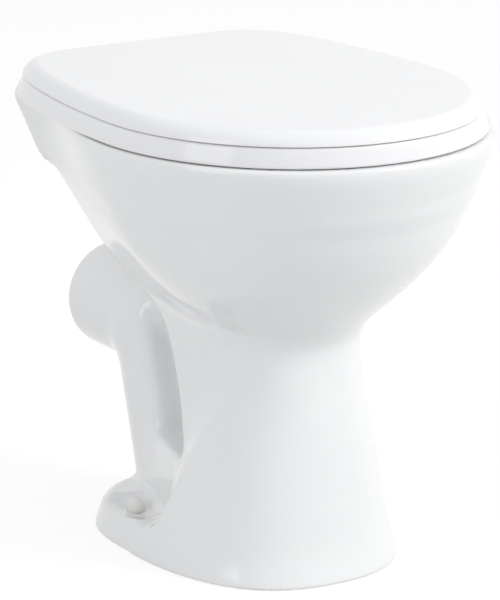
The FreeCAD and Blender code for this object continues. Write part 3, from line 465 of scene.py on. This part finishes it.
def net_over_field(form, xs, ys, zs, warp):
    """Quads round the zero skin of a field on a box grid bent by warp.

    Each grid cell that the skin crosses gets one point, the mean of its edges'
    crossings, which is then moved along the field's slope until the field is zero.
    Each grid edge that the skin crosses gets the quad of its four cells.
    """
    grid = warp(*np.meshgrid(xs, ys, zs, indexing="ij"))
    field = form.distance(grid[..., 0], grid[..., 1], grid[..., 2])
    inside = field < 0
    cells = np.array(field.shape) - 1
    total = np.zeros(tuple(cells), int)
    place = np.zeros(tuple(cells) + (3,))
    for axis in range(3):
        low = tuple(slice(None, -1 if k == axis else None) for k in range(3))
        high = tuple(slice(1 if k == axis else None, None) for k in range(3))
        a, b = field[low], field[high]
        crossed = inside[low] != inside[high]
        share = np.where(crossed, a / np.where(crossed, a - b, 1), 0)[..., None]
        point = np.where(crossed[..., None], grid[low] + (grid[high] - grid[low]) * share, 0)
        others = [k for k in range(3) if k != axis]
        for i in (0, 1):
            for j in (0, 1):
                part = [slice(None)] * 3
                part[others[0]] = slice(i, i + cells[others[0]])
                part[others[1]] = slice(j, j + cells[others[1]])
                place += point[tuple(part)]
                total += crossed[tuple(part)]
    used = total > 0
    index = np.full(used.shape, -1)
    index[used] = np.arange(used.sum())
    points = place[used] / total[used][:, None]

    quads = []
    for axis in range(3):
        low = tuple(slice(None, -1) if k == axis else slice(1, -1) for k in range(3))
        high = tuple(slice(1, None) if k == axis else slice(1, -1) for k in range(3))
        starts, ends = inside[low], inside[high]
        where = np.argwhere(starts != ends)
        flip = ends[tuple(where.T)]
        first, second = (axis + 1) % 3, (axis + 2) % 3
        where[:, first] += 1
        where[:, second] += 1
        corners = []
        for i, j in ((0, 0), (-1, 0), (-1, -1), (0, -1)):
            corner = where.copy()
            corner[:, first] += i
            corner[:, second] += j
            corners.append(index[tuple(corner.T)])
        quad = np.stack(corners, 1)
        quad[flip] = quad[flip][:, ::-1]
        quads.append(quad)

    step, rounds, longest = 0.3, 3, 1.5
    for _ in range(rounds):
        value = form.distance(*points.T)
        slope = form.change(points, step) / (2 * step)
        steep = np.maximum((slope ** 2).sum(1), 0.1)
        move = -(value / steep)[:, None] * slope
        far = np.linalg.norm(move, axis=1, keepdims=True)
        points = points + move * np.minimum(1, longest / np.maximum(far, 1e-9))
    return points, np.vstack(quads)


# Meshes

def to_frame(points):
    """Millimetres from the rim's widest place to metres in the frame."""
    return (points - [0.0, SCREW_LINE, 0.0]) * MM


def new_piece(name, points, faces, finish, body, nodes, normals=None):
    """A smooth mesh piece in the frame, which rides on a body and stands for CAD nodes."""
    mesh = bpy.data.meshes.new(name)
    mesh.from_pydata(to_frame(points), [], faces)
    mesh.update()
    mesh.shade_smooth()
    if normals is not None:
        mesh.normals_split_custom_set_from_vertices(normals)
    mesh.materials.append(finish)
    piece = bpy.data.objects.new(name, mesh)
    bpy.context.scene.collection.objects.link(piece)
    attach(piece, body)
    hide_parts(*nodes)
    return piece


def ring_faces(rings, around):
    """Quads between rings of points, the last ring joined to the first."""
    ring = np.arange(rings)[:, None]
    step = np.arange(around)[None, :]
    above = (ring + 1) % rings
    beside = (step + 1) % around
    quads = np.stack(np.broadcast_arrays(ring * around + step, ring * around + beside,
                                         above * around + beside, above * around + step), -1)
    return quads.reshape(-1, 4)


# Finishes

class Value:
    """A node's output, so that shader sums are written as Python expressions."""

    def __init__(self, finish, socket):
        self.finish = finish
        self.socket = socket

    def maths(self, operation, first, second):
        return self.finish.add("ShaderNodeMath", {"operation": operation},
                               {0: first, 1: second})

    def __add__(self, other):
        return self.maths("ADD", self, other)

    __radd__ = __add__

    def __sub__(self, other):
        return self.maths("SUBTRACT", self, other)

    def __rsub__(self, other):
        return self.maths("SUBTRACT", other, self)

    def __mul__(self, other):
        return self.maths("MULTIPLY", self, other)

    __rmul__ = __mul__

    def above(self, low, high):
        """0 under low, 1 over high, smooth between."""
        return self.finish.add("ShaderNodeMapRange", {"interpolation_type": "SMOOTHSTEP"},
                               {"Value": self, "From Min": low, "From Max": high})


class Finish:
    """A material built node by node."""

    def __init__(self, name):
        self.material = bpy.data.materials.new(name)
        self.material.use_nodes = True
        self.tree = self.material.node_tree
        self.tree.nodes.clear()

    def add(self, kind, settings=None, inputs=None, output=0):
        """A node with its settings, its sockets' values or links, and one of its outputs."""
        node = self.tree.nodes.new(kind)
        for key, setting in (settings or {}).items():
            setattr(node, key, setting)
        for key, value in (inputs or {}).items():
            if isinstance(value, Value):
                self.tree.links.new(value.socket, node.inputs[key])
            else:
                node.inputs[key].default_value = value
        return Value(self, node.outputs[output])

    def place(self):
        return self.add("ShaderNodeTexCoord", output="Object")

    def noise(self, scale, detail=2.0, roughness=0.5, stretch=None):
        where = self.place()
        if stretch:
            where = self.add("ShaderNodeMapping", inputs={"Vector": where, "Scale": stretch})
        return self.add("ShaderNodeTexNoise", inputs={
            "Vector": where, "Scale": scale, "Detail": detail, "Roughness": roughness})

    def mix(self, share, first, second):
        return self.add("ShaderNodeMix", {"data_type": "RGBA"},
                        {"Factor": share, "A": first, "B": second}, output="Result")

    def bump(self, height, distance, under=None):
        inputs = {"Height": height, "Distance": distance, "Strength": 1.0}
        if under:
            inputs["Normal"] = under
        return self.add("ShaderNodeBump", inputs=inputs)

    def painted(self, inputs):
        """The material with one Principled shader."""
        return self.surface(self.add("ShaderNodeBsdfPrincipled", inputs=inputs))

    def surface(self, shader):
        output = self.tree.nodes.new("ShaderNodeOutputMaterial")
        self.tree.links.new(shader.socket, output.inputs["Surface"])
        return self.material


def rgba(colour, factor=1.0):
    return (colour[0] * factor, colour[1] * factor, colour[2] * factor, 1.0)


def glaze(colour):
    """White glaze with faint clouds, pinholes and ripple; a bare biscuit edge below."""
    finish = Finish("glazed_china")
    cloud = finish.noise(7.0, 3.0)
    pools = finish.noise(38.0, 2.0)
    white = finish.mix(cloud.above(0.30, 0.70), rgba(colour, 0.985), rgba(colour, 1.01))
    white = finish.mix(pools.above(0.55, 0.80) * 0.35, white,
                       (colour[0] * 0.97, colour[1] * 0.985, colour[2] * 0.985, 1.0))
    dots = finish.add("ShaderNodeTexVoronoi", {"feature": "F1"},
                      {"Vector": finish.place(), "Scale": 95.0, "Randomness": 1.0})
    pinhole = 1 - dots.above(0.03, 0.07)
    rare = finish.noise(21.0, 1.0).above(0.62, 0.68)
    white = finish.mix(pinhole * rare * 0.30, white, rgba(colour, 0.72))
    height = finish.add("ShaderNodeSeparateXYZ", inputs={"Vector": finish.place()},
                        output="Z")
    bare = 1 - (height + finish.noise(60.0, 3.0) * 0.0003).above(0.0004, 0.0007)
    biscuit = finish.mix(finish.noise(700.0, 3.0), (0.76, 0.74, 0.70, 1.0),
                         (0.81, 0.79, 0.76, 1.0))
    white = finish.mix(bare, white, biscuit)
    rough = 0.10 + finish.noise(16.0, 3.0) * 0.05 + pools * 0.02 + bare * 0.55
    ripple = finish.noise(34.0, 1.0)
    peel = finish.noise(230.0, 2.0)
    normal = finish.bump(ripple, 0.00022)
    normal = finish.bump(peel, 0.000012, under=normal)
    return finish.painted({
        "Base Color": white, "Roughness": rough, "IOR": 1.52, "Normal": normal,
        "Coat Weight": 0.15, "Coat Roughness": 0.05})


def moulded_plastic(name, colour, roughness, grain):
    """White plastic: faint flow clouds, moulding peel and rubbed patches."""
    finish = Finish(name)
    flow = finish.noise(9.0, 3.0, stretch=(1.0, 0.45, 1.0))
    body = finish.mix(flow.above(0.30, 0.72), rgba(colour, 0.985), rgba(colour, 1.01))
    rub = finish.noise(24.0, 4.0, 0.62).above(0.52, 0.80)
    body = finish.mix(rub * 0.25, body, rgba(colour, 0.965))
    rough = roughness + rub * 0.07 + finish.noise(240.0, 2.0) * 0.03
    normal = finish.bump(finish.noise(26.0, 1.0), 0.00012)
    normal = finish.bump(finish.noise(420.0, 2.0), grain, under=normal)
    return finish.painted({
        "Base Color": body, "Roughness": rough, "IOR": 1.49, "Normal": normal})


def ground_steel(name, colour, direction):
    """Steel with fine grinding lines round it and dull spots."""
    finish = Finish(name)
    lines = finish.noise(220.0, 3.0, 0.6, stretch=direction)
    spots = finish.noise(130.0, 3.0).above(0.55, 0.75)
    body = finish.mix(lines.above(0.25, 0.75), rgba(colour, 0.88), rgba(colour, 1.06))
    body = finish.mix(spots * 0.4, body, rgba(colour, 0.75))
    rough = 0.24 + lines * 0.16 + spots * 0.12
    normal = finish.bump(lines, 0.00002)
    return finish.painted({
        "Base Color": body, "Roughness": rough, "Metallic": 1.0, "Normal": normal})


def soft_rubber(name, colour):
    """Matt rubber with a fine moulded grain and bloom."""
    finish = Finish(name)
    bloom = finish.noise(70.0, 4.0, 0.6).above(0.45, 0.78)
    body = finish.mix(bloom, rgba(colour), tuple(min(1.0, c * 1.25 + 0.01)
                                                 for c in colour) + (1.0,))
    rough = 0.58 + bloom * 0.16
    normal = finish.bump(finish.noise(900.0, 3.0), 0.00003)
    return finish.painted({
        "Base Color": body, "Roughness": rough, "IOR": 1.5, "Normal": normal})


def dress(finish, *starts):
    """Gives a finish to the CAD nodes whose names start so."""
    for name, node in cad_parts.items():
        if name.startswith(starts):
            node.data.materials.clear()
            node.data.materials.append(finish)


# Operators

class ToiletOperator:
    bl_options = {"REGISTER", "UNDO"}


class OBJECT_OT_toilet_pan(ToiletOperator, Operator):
    """Make the glazed china casting"""

    bl_idname = "object.toilet_pan"
    bl_label = "Pan"

    def execute(self, context):
        scene = context.scene
        form = PanForm(scene.toilet_pan)
        xs = spans((-GRID_SIDE, -BENT_ACROSS, 3.6), (-BENT_ACROSS, BENT_ACROSS, 4.0),
                   (BENT_ACROSS, GRID_SIDE, 3.6))
        ys = spans((GRID_FRONT, 20, 4.4), (20, BENT_BACK, 3.9), (BENT_BACK, 215, 3.4),
                   (215, GRID_BACK, 4.0))
        zs = spans((-2.4, 6, 1.4), (6, 60, 3.0), (60, 230, 3.8), (230, 372, 4.6),
                   (372, 399, 2.7))
        points, quads = net_over_field(form, xs, ys, zs, form.bent)
        new_piece("china_pan", points, quads, glaze(scene.toilet_colours.glaze),
                  "pan", ["pan"], form.normals(points))
        return {"FINISHED"}


def cover_outline(angles, half_width, front, back):
    """Plan of seat and lid: (x / w)^p + (y / r)^p = 1, p 2.02 in front and 8 behind,
    where it also narrows by 0.21 of the square of the share of its reach."""
    front_power, back_power, tuck = 2.02, 8.0, 0.21
    across, along = np.sin(angles), np.cos(angles)
    ahead = along > 0
    power = np.where(ahead, front_power, back_power)
    size = (np.abs(across) ** power + np.abs(along) ** power) ** (-1 / power)
    share = -along * size
    reach = np.where(ahead, front, back)
    narrowing = np.where(ahead, 0.0, tuck)
    x = half_width * across * size * (1 - narrowing * share ** 2)
    return np.stack([x, reach * share], -1)


def mouth_outline(angles, growth):
    """Seat's mouth: (x / 113)^2.2 + (y / r)^2.2 = 1, with its own reach ahead and behind."""
    power, half_width, front, back = 2.2, 113.0, 136.0, 122.0
    across, along = np.sin(angles), np.cos(angles)
    size = (np.abs(across) ** power + np.abs(along) ** power) ** (-1 / power)
    reach = np.where(along > 0, front, back)
    return np.stack([(half_width + growth) * across * size,
                     -(reach + growth) * along * size], -1)


def back_angles(places, half_width):
    """Angles at which the outline's back edge has these X places."""
    angles = np.linspace(math.pi / 2, 1.5 * math.pi, 20001)
    outline = cover_outline(angles, half_width, 1.0, 1.0)
    back = outline[:, 1] > 0.9
    order = np.argsort(outline[back, 0])
    return np.interp(places, outline[back, 0][order], angles[back][order])


def even_angles(count, half_width, edges):
    """Angles round a cover, close together at corners, with pairs at the notches' edges."""
    fine = np.linspace(0, 2 * math.pi, 8001)
    outline = cover_outline(fine, half_width, 1.1 * half_width, 1.45 * half_width)
    run = np.linalg.norm(np.diff(outline, axis=0), axis=1)
    turn = np.unwrap(np.arctan2(*np.diff(outline, axis=0).T))
    bend = np.abs(np.diff(turn, append=turn[-1]))
    pace = np.concatenate([[0], np.cumsum(run / run.sum() + 0.6 * bend / bend.sum())])
    angles = np.interp(np.linspace(0, pace[-1], count + 1)[:-1], pace, fine)
    places = np.array([p + d for e in edges for p in (e, -e) for d in (-0.02, 0.02)])
    return np.sort(np.concatenate([angles, back_angles(places, half_width)]))


def at_height(plan, z):
    """Points of a plan at one height."""
    return np.column_stack([plan, np.full(len(plan), z)])


def lathe(profile, centre, axis, around=48):
    """Closed solid of revolution: (along, radius) pairs carried round an axis."""
    turn = np.linspace(0, 2 * math.pi, around, endpoint=False)
    along, radius = np.array(profile).T
    circle = np.stack([np.cos(turn), np.sin(turn)], -1)[None] * radius[:, None, None]
    line = np.broadcast_to(along[:, None, None], circle.shape[:2] + (1,))
    if axis == "Z":
        points = np.concatenate([circle, line], -1)
    else:
        points = np.concatenate([line, circle], -1)
    return points.reshape(-1, 3) + centre, ring_faces(len(profile), around)


def joined(*shells):
    """Points and faces of several shells as one."""
    points = np.vstack([p for p, _ in shells])
    starts = np.cumsum([0] + [len(p) for p, _ in shells[:-1]])
    return points, np.vstack([f + s for (_, f), s in zip(shells, starts)])


class OBJECT_OT_toilet_seat(ToiletOperator, Operator):
    """Make the seat with its rounded edges and its notches for the hinges"""

    bl_idname = "object.toilet_seat"
    bl_label = "Seat"

    def execute(self, context):
        scene = context.scene
        sizes = scene.toilet_seat
        half, front = sizes.seat_half_width / MM, sizes.seat_front / MM
        low, top = sizes.seat_underside / MM, sizes.seat_top / MM
        notch_inner, notch_outer, notch_front, back_edge = 49.0, 87.0, 186.0, 234.0
        angles = even_angles(240, half, (notch_inner, notch_outer))
        edge, slope, mouth_edge, lip = 2.4, 5.4, 6.0, 1.1
        arc = np.linspace(0, math.pi / 2, 7)
        rings = []
        for a in arc:
            rings.append((edge * (1 - math.sin(a)), low - lip + edge * (1 - math.cos(a))))
        for a in arc[::-1]:
            rings.append((slope + edge * (1 - math.sin(a)), top - edge * (1 - math.cos(a))))
        layers = []
        for inset, z in rings:
            plan = cover_outline(angles, half - inset, front - inset, SEAT_BACK - inset)
            across = np.abs(plan[:, 0])
            notch = (across > notch_inner) & (across < notch_outer)
            plan[:, 1] = np.minimum(plan[:, 1], np.where(notch, notch_front, back_edge))
            layers.append(at_height(plan, z))
        # A ring within the faces, straight across before the notches, keeps them flat.
        shelf_back, shelf_side, inward = 180.0, 95.0, 0.10
        shelf = cover_outline(angles, half, front, SEAT_BACK)
        ahead = np.clip((shelf_back - shelf[:, 1]) / 60.0, 0, 1)
        beside = np.clip((np.abs(shelf[:, 0]) - shelf_side) / 35.0, 0, 1)
        shelf = np.column_stack([shelf[:, 0] * (1 - inward * np.maximum(ahead, beside)),
                                 np.minimum(shelf[:, 1], shelf_back) * (1 - inward * ahead)])
        layers.append(at_height(shelf, top))
        for a in arc[::-1]:
            plan = mouth_outline(angles, mouth_edge * (1 - math.cos(a)))
            z = top - mouth_edge * (1 - math.sin(a))
            layers.append(at_height(plan, z))
        layers.append(at_height(mouth_outline(angles, 0.0), low))
        layers.append(at_height(shelf, low))
        points = np.array(layers)
        faces = ring_faces(len(layers), len(angles))[:, ::-1]
        shells = [(points.reshape(-1, 3), faces)]
        for side in (-1, 1):
            start, end = sorted((side * notch_outer, side * 102.5))
            shells.append(knuckle(start, end))
        points, faces = joined(*shells)
        finish = moulded_plastic("white_seat", scene.toilet_colours.seat, 0.085, 0.000008)
        piece = new_piece("seat_ring_moulding", points, faces, finish,
                          "seat", ["seat_ring"])
        piece.data.set_sharp_from_angle(angle=SHARP_TURN)
        return {"FINISHED"}


def knuckle(start, end):
    """Bored barrel on the hinge axis, with rounded ends."""
    bore, radius, edge = 3.1, 6.5, 0.8
    profile = [(start, bore), (start, radius - edge), (start + edge, radius),
               (end - edge, radius), (end, radius - edge), (end, bore)]
    return lathe(profile, np.array(HINGE_LINE), "X", 36)


class OBJECT_OT_toilet_lid(ToiletOperator, Operator):
    """Make the lid with its rounded edge, its crown and its hollow underside"""

    bl_idname = "object.toilet_lid"
    bl_label = "Lid"

    def execute(self, context):
        scene = context.scene
        sizes = scene.toilet_seat
        half, front = sizes.lid_half_width / MM, sizes.lid_front / MM
        low, rise = sizes.lid_underside / MM, sizes.lid_edge_height / MM
        edge_width, crown, skin = 13.1, 1.0, 3.6
        slot_inner, slot_outer, slot_front = 68.0, 103.0, 235.8
        angles = even_angles(300, half, (slot_inner, slot_outer))
        rings = []
        for a in np.linspace(0, math.pi / 2, 15):
            rings.append((edge_width * (1 - math.cos(a) ** 1.25),
                          low + rise * math.sin(a) ** 1.25, 1.0))
        for share in (0.97, 0.93, 0.86, 0.76, 0.62, 0.45, 0.28, 0.12, 0.02):
            lift = crown * (1 - max(0.0, (share - 0.6) / 0.4) ** 2)
            rings.append((edge_width, low + rise + lift, share))
        top_count = len(rings)
        inside_top = low + rise - skin
        for share in (0.02, 0.3, 0.6, 0.85, 0.95):
            rings.append((skin + edge_width * 0.95, inside_top, share))
        for height, width in ((1.0, 0.85), (0.85, 0.62), (0.65, 0.36), (0.45, 0.16),
                              (0.2, 0.06), (0.0, 0.0)):
            rings.append((skin + edge_width * width, low + (inside_top - low) * height, 1.0))
        layers = []
        for inset, z, share in rings:
            plan = cover_outline(angles, half - inset, front - inset, LID_BACK - inset) * share
            layers.append(at_height(plan, z))
        points = np.array(layers)
        outline = cover_outline(angles, half, front, LID_BACK)
        across = np.abs(outline[:, 0])
        slot = (across > slot_inner) & (across < slot_outer) & (outline[:, 1] > 200.0)
        points[..., 1] = np.where(slot, np.minimum(points[..., 1], slot_front),
                                  points[..., 1])
        points[..., 2] = np.where(slot, np.maximum(points[..., 2], inside_top),
                                  points[..., 2])
        count = len(angles)
        faces = ring_faces(len(rings), count)[:, ::-1]
        # The middles of top and underside are closed with fans in place of one quad strip.
        shut = top_count - 1
        keep = (faces // count).min(1) != shut
        keep |= (faces // count).max(1) != shut + 1
        top_ring, under_ring = (ring * count + np.arange(count) for ring in (shut, top_count))
        flat = points.reshape(-1, 3)
        flat = np.vstack([flat, flat[top_ring].mean(0), flat[under_ring].mean(0)])
        top_middle, under_middle = (np.full(count, len(flat) - back) for back in (2, 1))
        step = np.roll(np.arange(count), -1)
        top_fan = np.column_stack([top_ring[step], top_middle, top_ring])
        under_fan = np.column_stack([under_middle, under_ring[step], under_ring])
        all_faces = faces[keep].tolist() + top_fan.tolist() + under_fan.tolist()
        for side in (-1, 1):
            barrel_points, barrel_faces = knuckle(*sorted((side * 52.5, side * slot_inner)))
            all_faces += (barrel_faces + len(flat)).tolist()
            flat = np.vstack([flat, barrel_points])
        finish = moulded_plastic("white_lid", scene.toilet_colours.seat, 0.075, 0.000008)
        piece = new_piece("lid_moulding", flat, all_faces, finish, "lid",
                          ["lid"])
        piece.data.set_sharp_from_angle(angle=SHARP_TURN)
        return {"FINISHED"}


class OBJECT_OT_toilet_hinges(ToiletOperator, Operator):
    """Finish the hinge posts, pins, bolts, washers, nuts, gaskets and cones"""

    bl_idname = "object.toilet_hinges"
    bl_label = "Hinges"

    def execute(self, context):
        colours = context.scene.toilet_colours
        dress(moulded_plastic("hinge_plastic", colours.post, 0.16, 0.00002), "hinge_post")
        dress(ground_steel("pin_steel", colours.steel, (0.05, 1.0, 1.0)), "hinge_pin")
        dress(ground_steel("bolt_steel", colours.steel, (1.0, 1.0, 0.05)), "hinge_bolt",
              "bolt_washer")
        dress(moulded_plastic("nut_plastic", colours.nut, 0.42, 0.00004), "wing_nut",
              "cap_washer")
        dress(soft_rubber("soft_rubber", colours.rubber), "hinge_gasket", "bolt_cone")
        dress(soft_rubber("buffer_rubber", colours.pad), "seat_buffer", "lid_buffer")
        return {"FINISHED"}


class OBJECT_OT_toilet_caps(ToiletOperator, Operator):
    """Make the domed caps over the floor screws"""

    bl_idname = "object.toilet_caps"
    bl_label = "Screw caps"

    def execute(self, context):
        scene = context.scene
        radius, height = (scene.toilet_seat.cap_radius / MM,
                          scene.toilet_seat.cap_height / MM)
        dish_bottom, low, wall, edge, tip = 18.0, 18.2, 1.4, 0.4, 0.05
        middle = dish_bottom + height - radius
        arc = np.linspace(0, math.pi / 2, 13)[:-1]
        outside = [(middle + radius * math.sin(a), radius * math.cos(a)) for a in arc]
        hollow = radius - wall
        inside = [(middle + hollow * math.sin(a), hollow * math.cos(a)) for a in arc[::-1]]
        profile = ([(low, hollow), (low, radius - edge), (low + edge, radius)] + outside
                   + [(middle + radius, tip), (middle + hollow, tip)] + inside)
        finish = moulded_plastic("cap_plastic", scene.toilet_colours.cap, 0.22, 0.00002)
        for side, x in (("left", -80.0), ("right", 80.0)):
            points, faces = lathe(profile, np.array([x, SCREW_LINE, 0.0]), "Z", 56)
            new_piece("screw_cap_" + side, points, faces[:, ::-1], finish,
                      "cap_" + side, ["floor_screw_cap_" + side])
        return {"FINISHED"}


class OBJECT_OT_toilet_stage(ToiletOperator, Operator):
    """Make the floor, the lamps and the camera"""

    bl_idname = "object.toilet_stage"
    bl_label = "Stage"

    def execute(self, context):
        scene = context.scene
        floor = bpy.data.meshes.new("floor")
        half_side, below = 30.0, 0.0004
        corners = np.array([(-1, -1, 0), (1, -1, 0), (1, 1, 0), (-1, 1, 0)]) * half_side
        floor.from_pydata(corners - [0, 0, below], [], [(0, 1, 2, 3)])
        floor.materials.append(studio_floor(scene.toilet_colours.floor))
        ground = bpy.data.objects.new("floor", floor)
        scene.collection.objects.link(ground)
        studio_sky(scene)
        for lamp in LAMPS:
            area_lamp(*lamp)
        camera = bpy.data.cameras.new("camera")
        camera.lens = CAMERA_LENS
        camera.sensor_width = 36.0
        camera.sensor_fit = "AUTO"
        camera.clip_end = 100.0
        holder = bpy.data.objects.new("camera", camera)
        scene.collection.objects.link(holder)
        holder.location = CAMERA_PLACE
        aim = Vector(CAMERA_TARGET) - holder.location
        holder.rotation_euler = aim.to_track_quat("-Z", "Y").to_euler()
        scene.camera = holder
        scene.view_settings.view_transform = "Standard"
        return {"FINISHED"}


def seen_ray(finish):
    """1 for rays from the camera, mirrors and glass."""
    rays = finish.tree.nodes.new("ShaderNodeLightPath").outputs
    camera, glossy, clear = (Value(finish, rays[name]) for name in
                             ("Is Camera Ray", "Is Glossy Ray", "Is Transmission Ray"))
    return (camera + glossy + clear).above(0.4, 0.6)


def studio_floor(colour):
    """Pale floor that looks white to the camera and keeps the shadow."""
    finish = Finish("studio_floor")
    grain = finish.noise(3.0, 3.0)
    tone = finish.mix(grain, rgba(colour, 0.99), rgba(colour, 1.01))
    plain = finish.add("ShaderNodeBsdfDiffuse", inputs={"Color": tone})
    dim = finish.add("ShaderNodeBsdfDiffuse", inputs={"Color": rgba(colour, 0.34)})
    white = finish.add("ShaderNodeEmission", inputs={"Color": (1, 1, 1, 1), "Strength": 0.80})
    shown = finish.add("ShaderNodeAddShader", inputs={0: dim, 1: white})
    mixed = finish.add("ShaderNodeMixShader", inputs={0: seen_ray(finish), 1: plain, 2: shown})
    return finish.surface(mixed)


def studio_sky(scene):
    """Even pale light all round, white where the camera or a mirror sees it."""
    world = bpy.data.worlds.new("studio")
    world.use_nodes = True
    scene.world = world
    tree = world.node_tree
    tree.nodes.clear()
    finish = Finish.__new__(Finish)
    finish.material, finish.tree = world, tree
    seen = seen_ray(finish)
    soft = finish.add("ShaderNodeBackground", inputs={"Color": (0.97, 0.98, 1.0, 1),
                                                      "Strength": 0.66})
    white = finish.add("ShaderNodeBackground", inputs={"Color": (1, 1, 1, 1),
                                                       "Strength": 1.0})
    mixed = finish.add("ShaderNodeMixShader", inputs={0: seen, 1: soft, 2: white})
    tree.links.new(mixed.socket, tree.nodes.new("ShaderNodeOutputWorld").inputs["Surface"])


def area_lamp(name, place, target, width, depth, power):
    """A rectangular lamp turned to its target."""
    lamp = bpy.data.lights.new(name, "AREA")
    lamp.shape = "RECTANGLE"
    lamp.size, lamp.size_y, lamp.energy = width, depth, power
    holder = bpy.data.objects.new(name, lamp)
    bpy.context.scene.collection.objects.link(holder)
    holder.location = place
    aim = Vector(target) - Vector(place)
    holder.rotation_euler = aim.to_track_quat("-Z", "Y").to_euler()


class VIEW3D_PT_toilet(Panel):
    """Sizes, colours and pieces of the toilet"""

    bl_label = "Toilet"
    bl_idname = "VIEW3D_PT_toilet"
    bl_space_type = "VIEW_3D"
    bl_region_type = "UI"
    bl_category = "Toilet"

    def draw(self, context):
        for group in (context.scene.toilet_pan, context.scene.toilet_seat,
                      context.scene.toilet_colours):
            box = self.layout.box()
            for name in group.__annotations__:
                box.prop(group, name)
        for operator in operators:
            self.layout.operator(operator.bl_idname)


operators = (OBJECT_OT_toilet_stage, OBJECT_OT_toilet_pan, OBJECT_OT_toilet_seat,
             OBJECT_OT_toilet_lid, OBJECT_OT_toilet_hinges, OBJECT_OT_toilet_caps)
classes = (ToiletPanSizes, ToiletSeatSizes, ToiletColours, *operators, VIEW3D_PT_toilet)


def register():
    for item in classes:
        bpy.utils.register_class(item)
    bpy.types.Scene.toilet_pan = PointerProperty(type=ToiletPanSizes)
    bpy.types.Scene.toilet_seat = PointerProperty(type=ToiletSeatSizes)
    bpy.types.Scene.toilet_colours = PointerProperty(type=ToiletColours)


def unregister():
    del bpy.types.Scene.toilet_colours
    del bpy.types.Scene.toilet_seat
    del bpy.types.Scene.toilet_pan
    for item in reversed(classes):
        bpy.utils.unregister_class(item)


def main():
    register()
    bpy.ops.object.toilet_stage()
    bpy.ops.object.toilet_pan()
    bpy.ops.object.toilet_seat()
    bpy.ops.object.toilet_lid()
    bpy.ops.object.toilet_hinges()
    bpy.ops.object.toilet_caps()


if __name__ == "__main__":
    main()
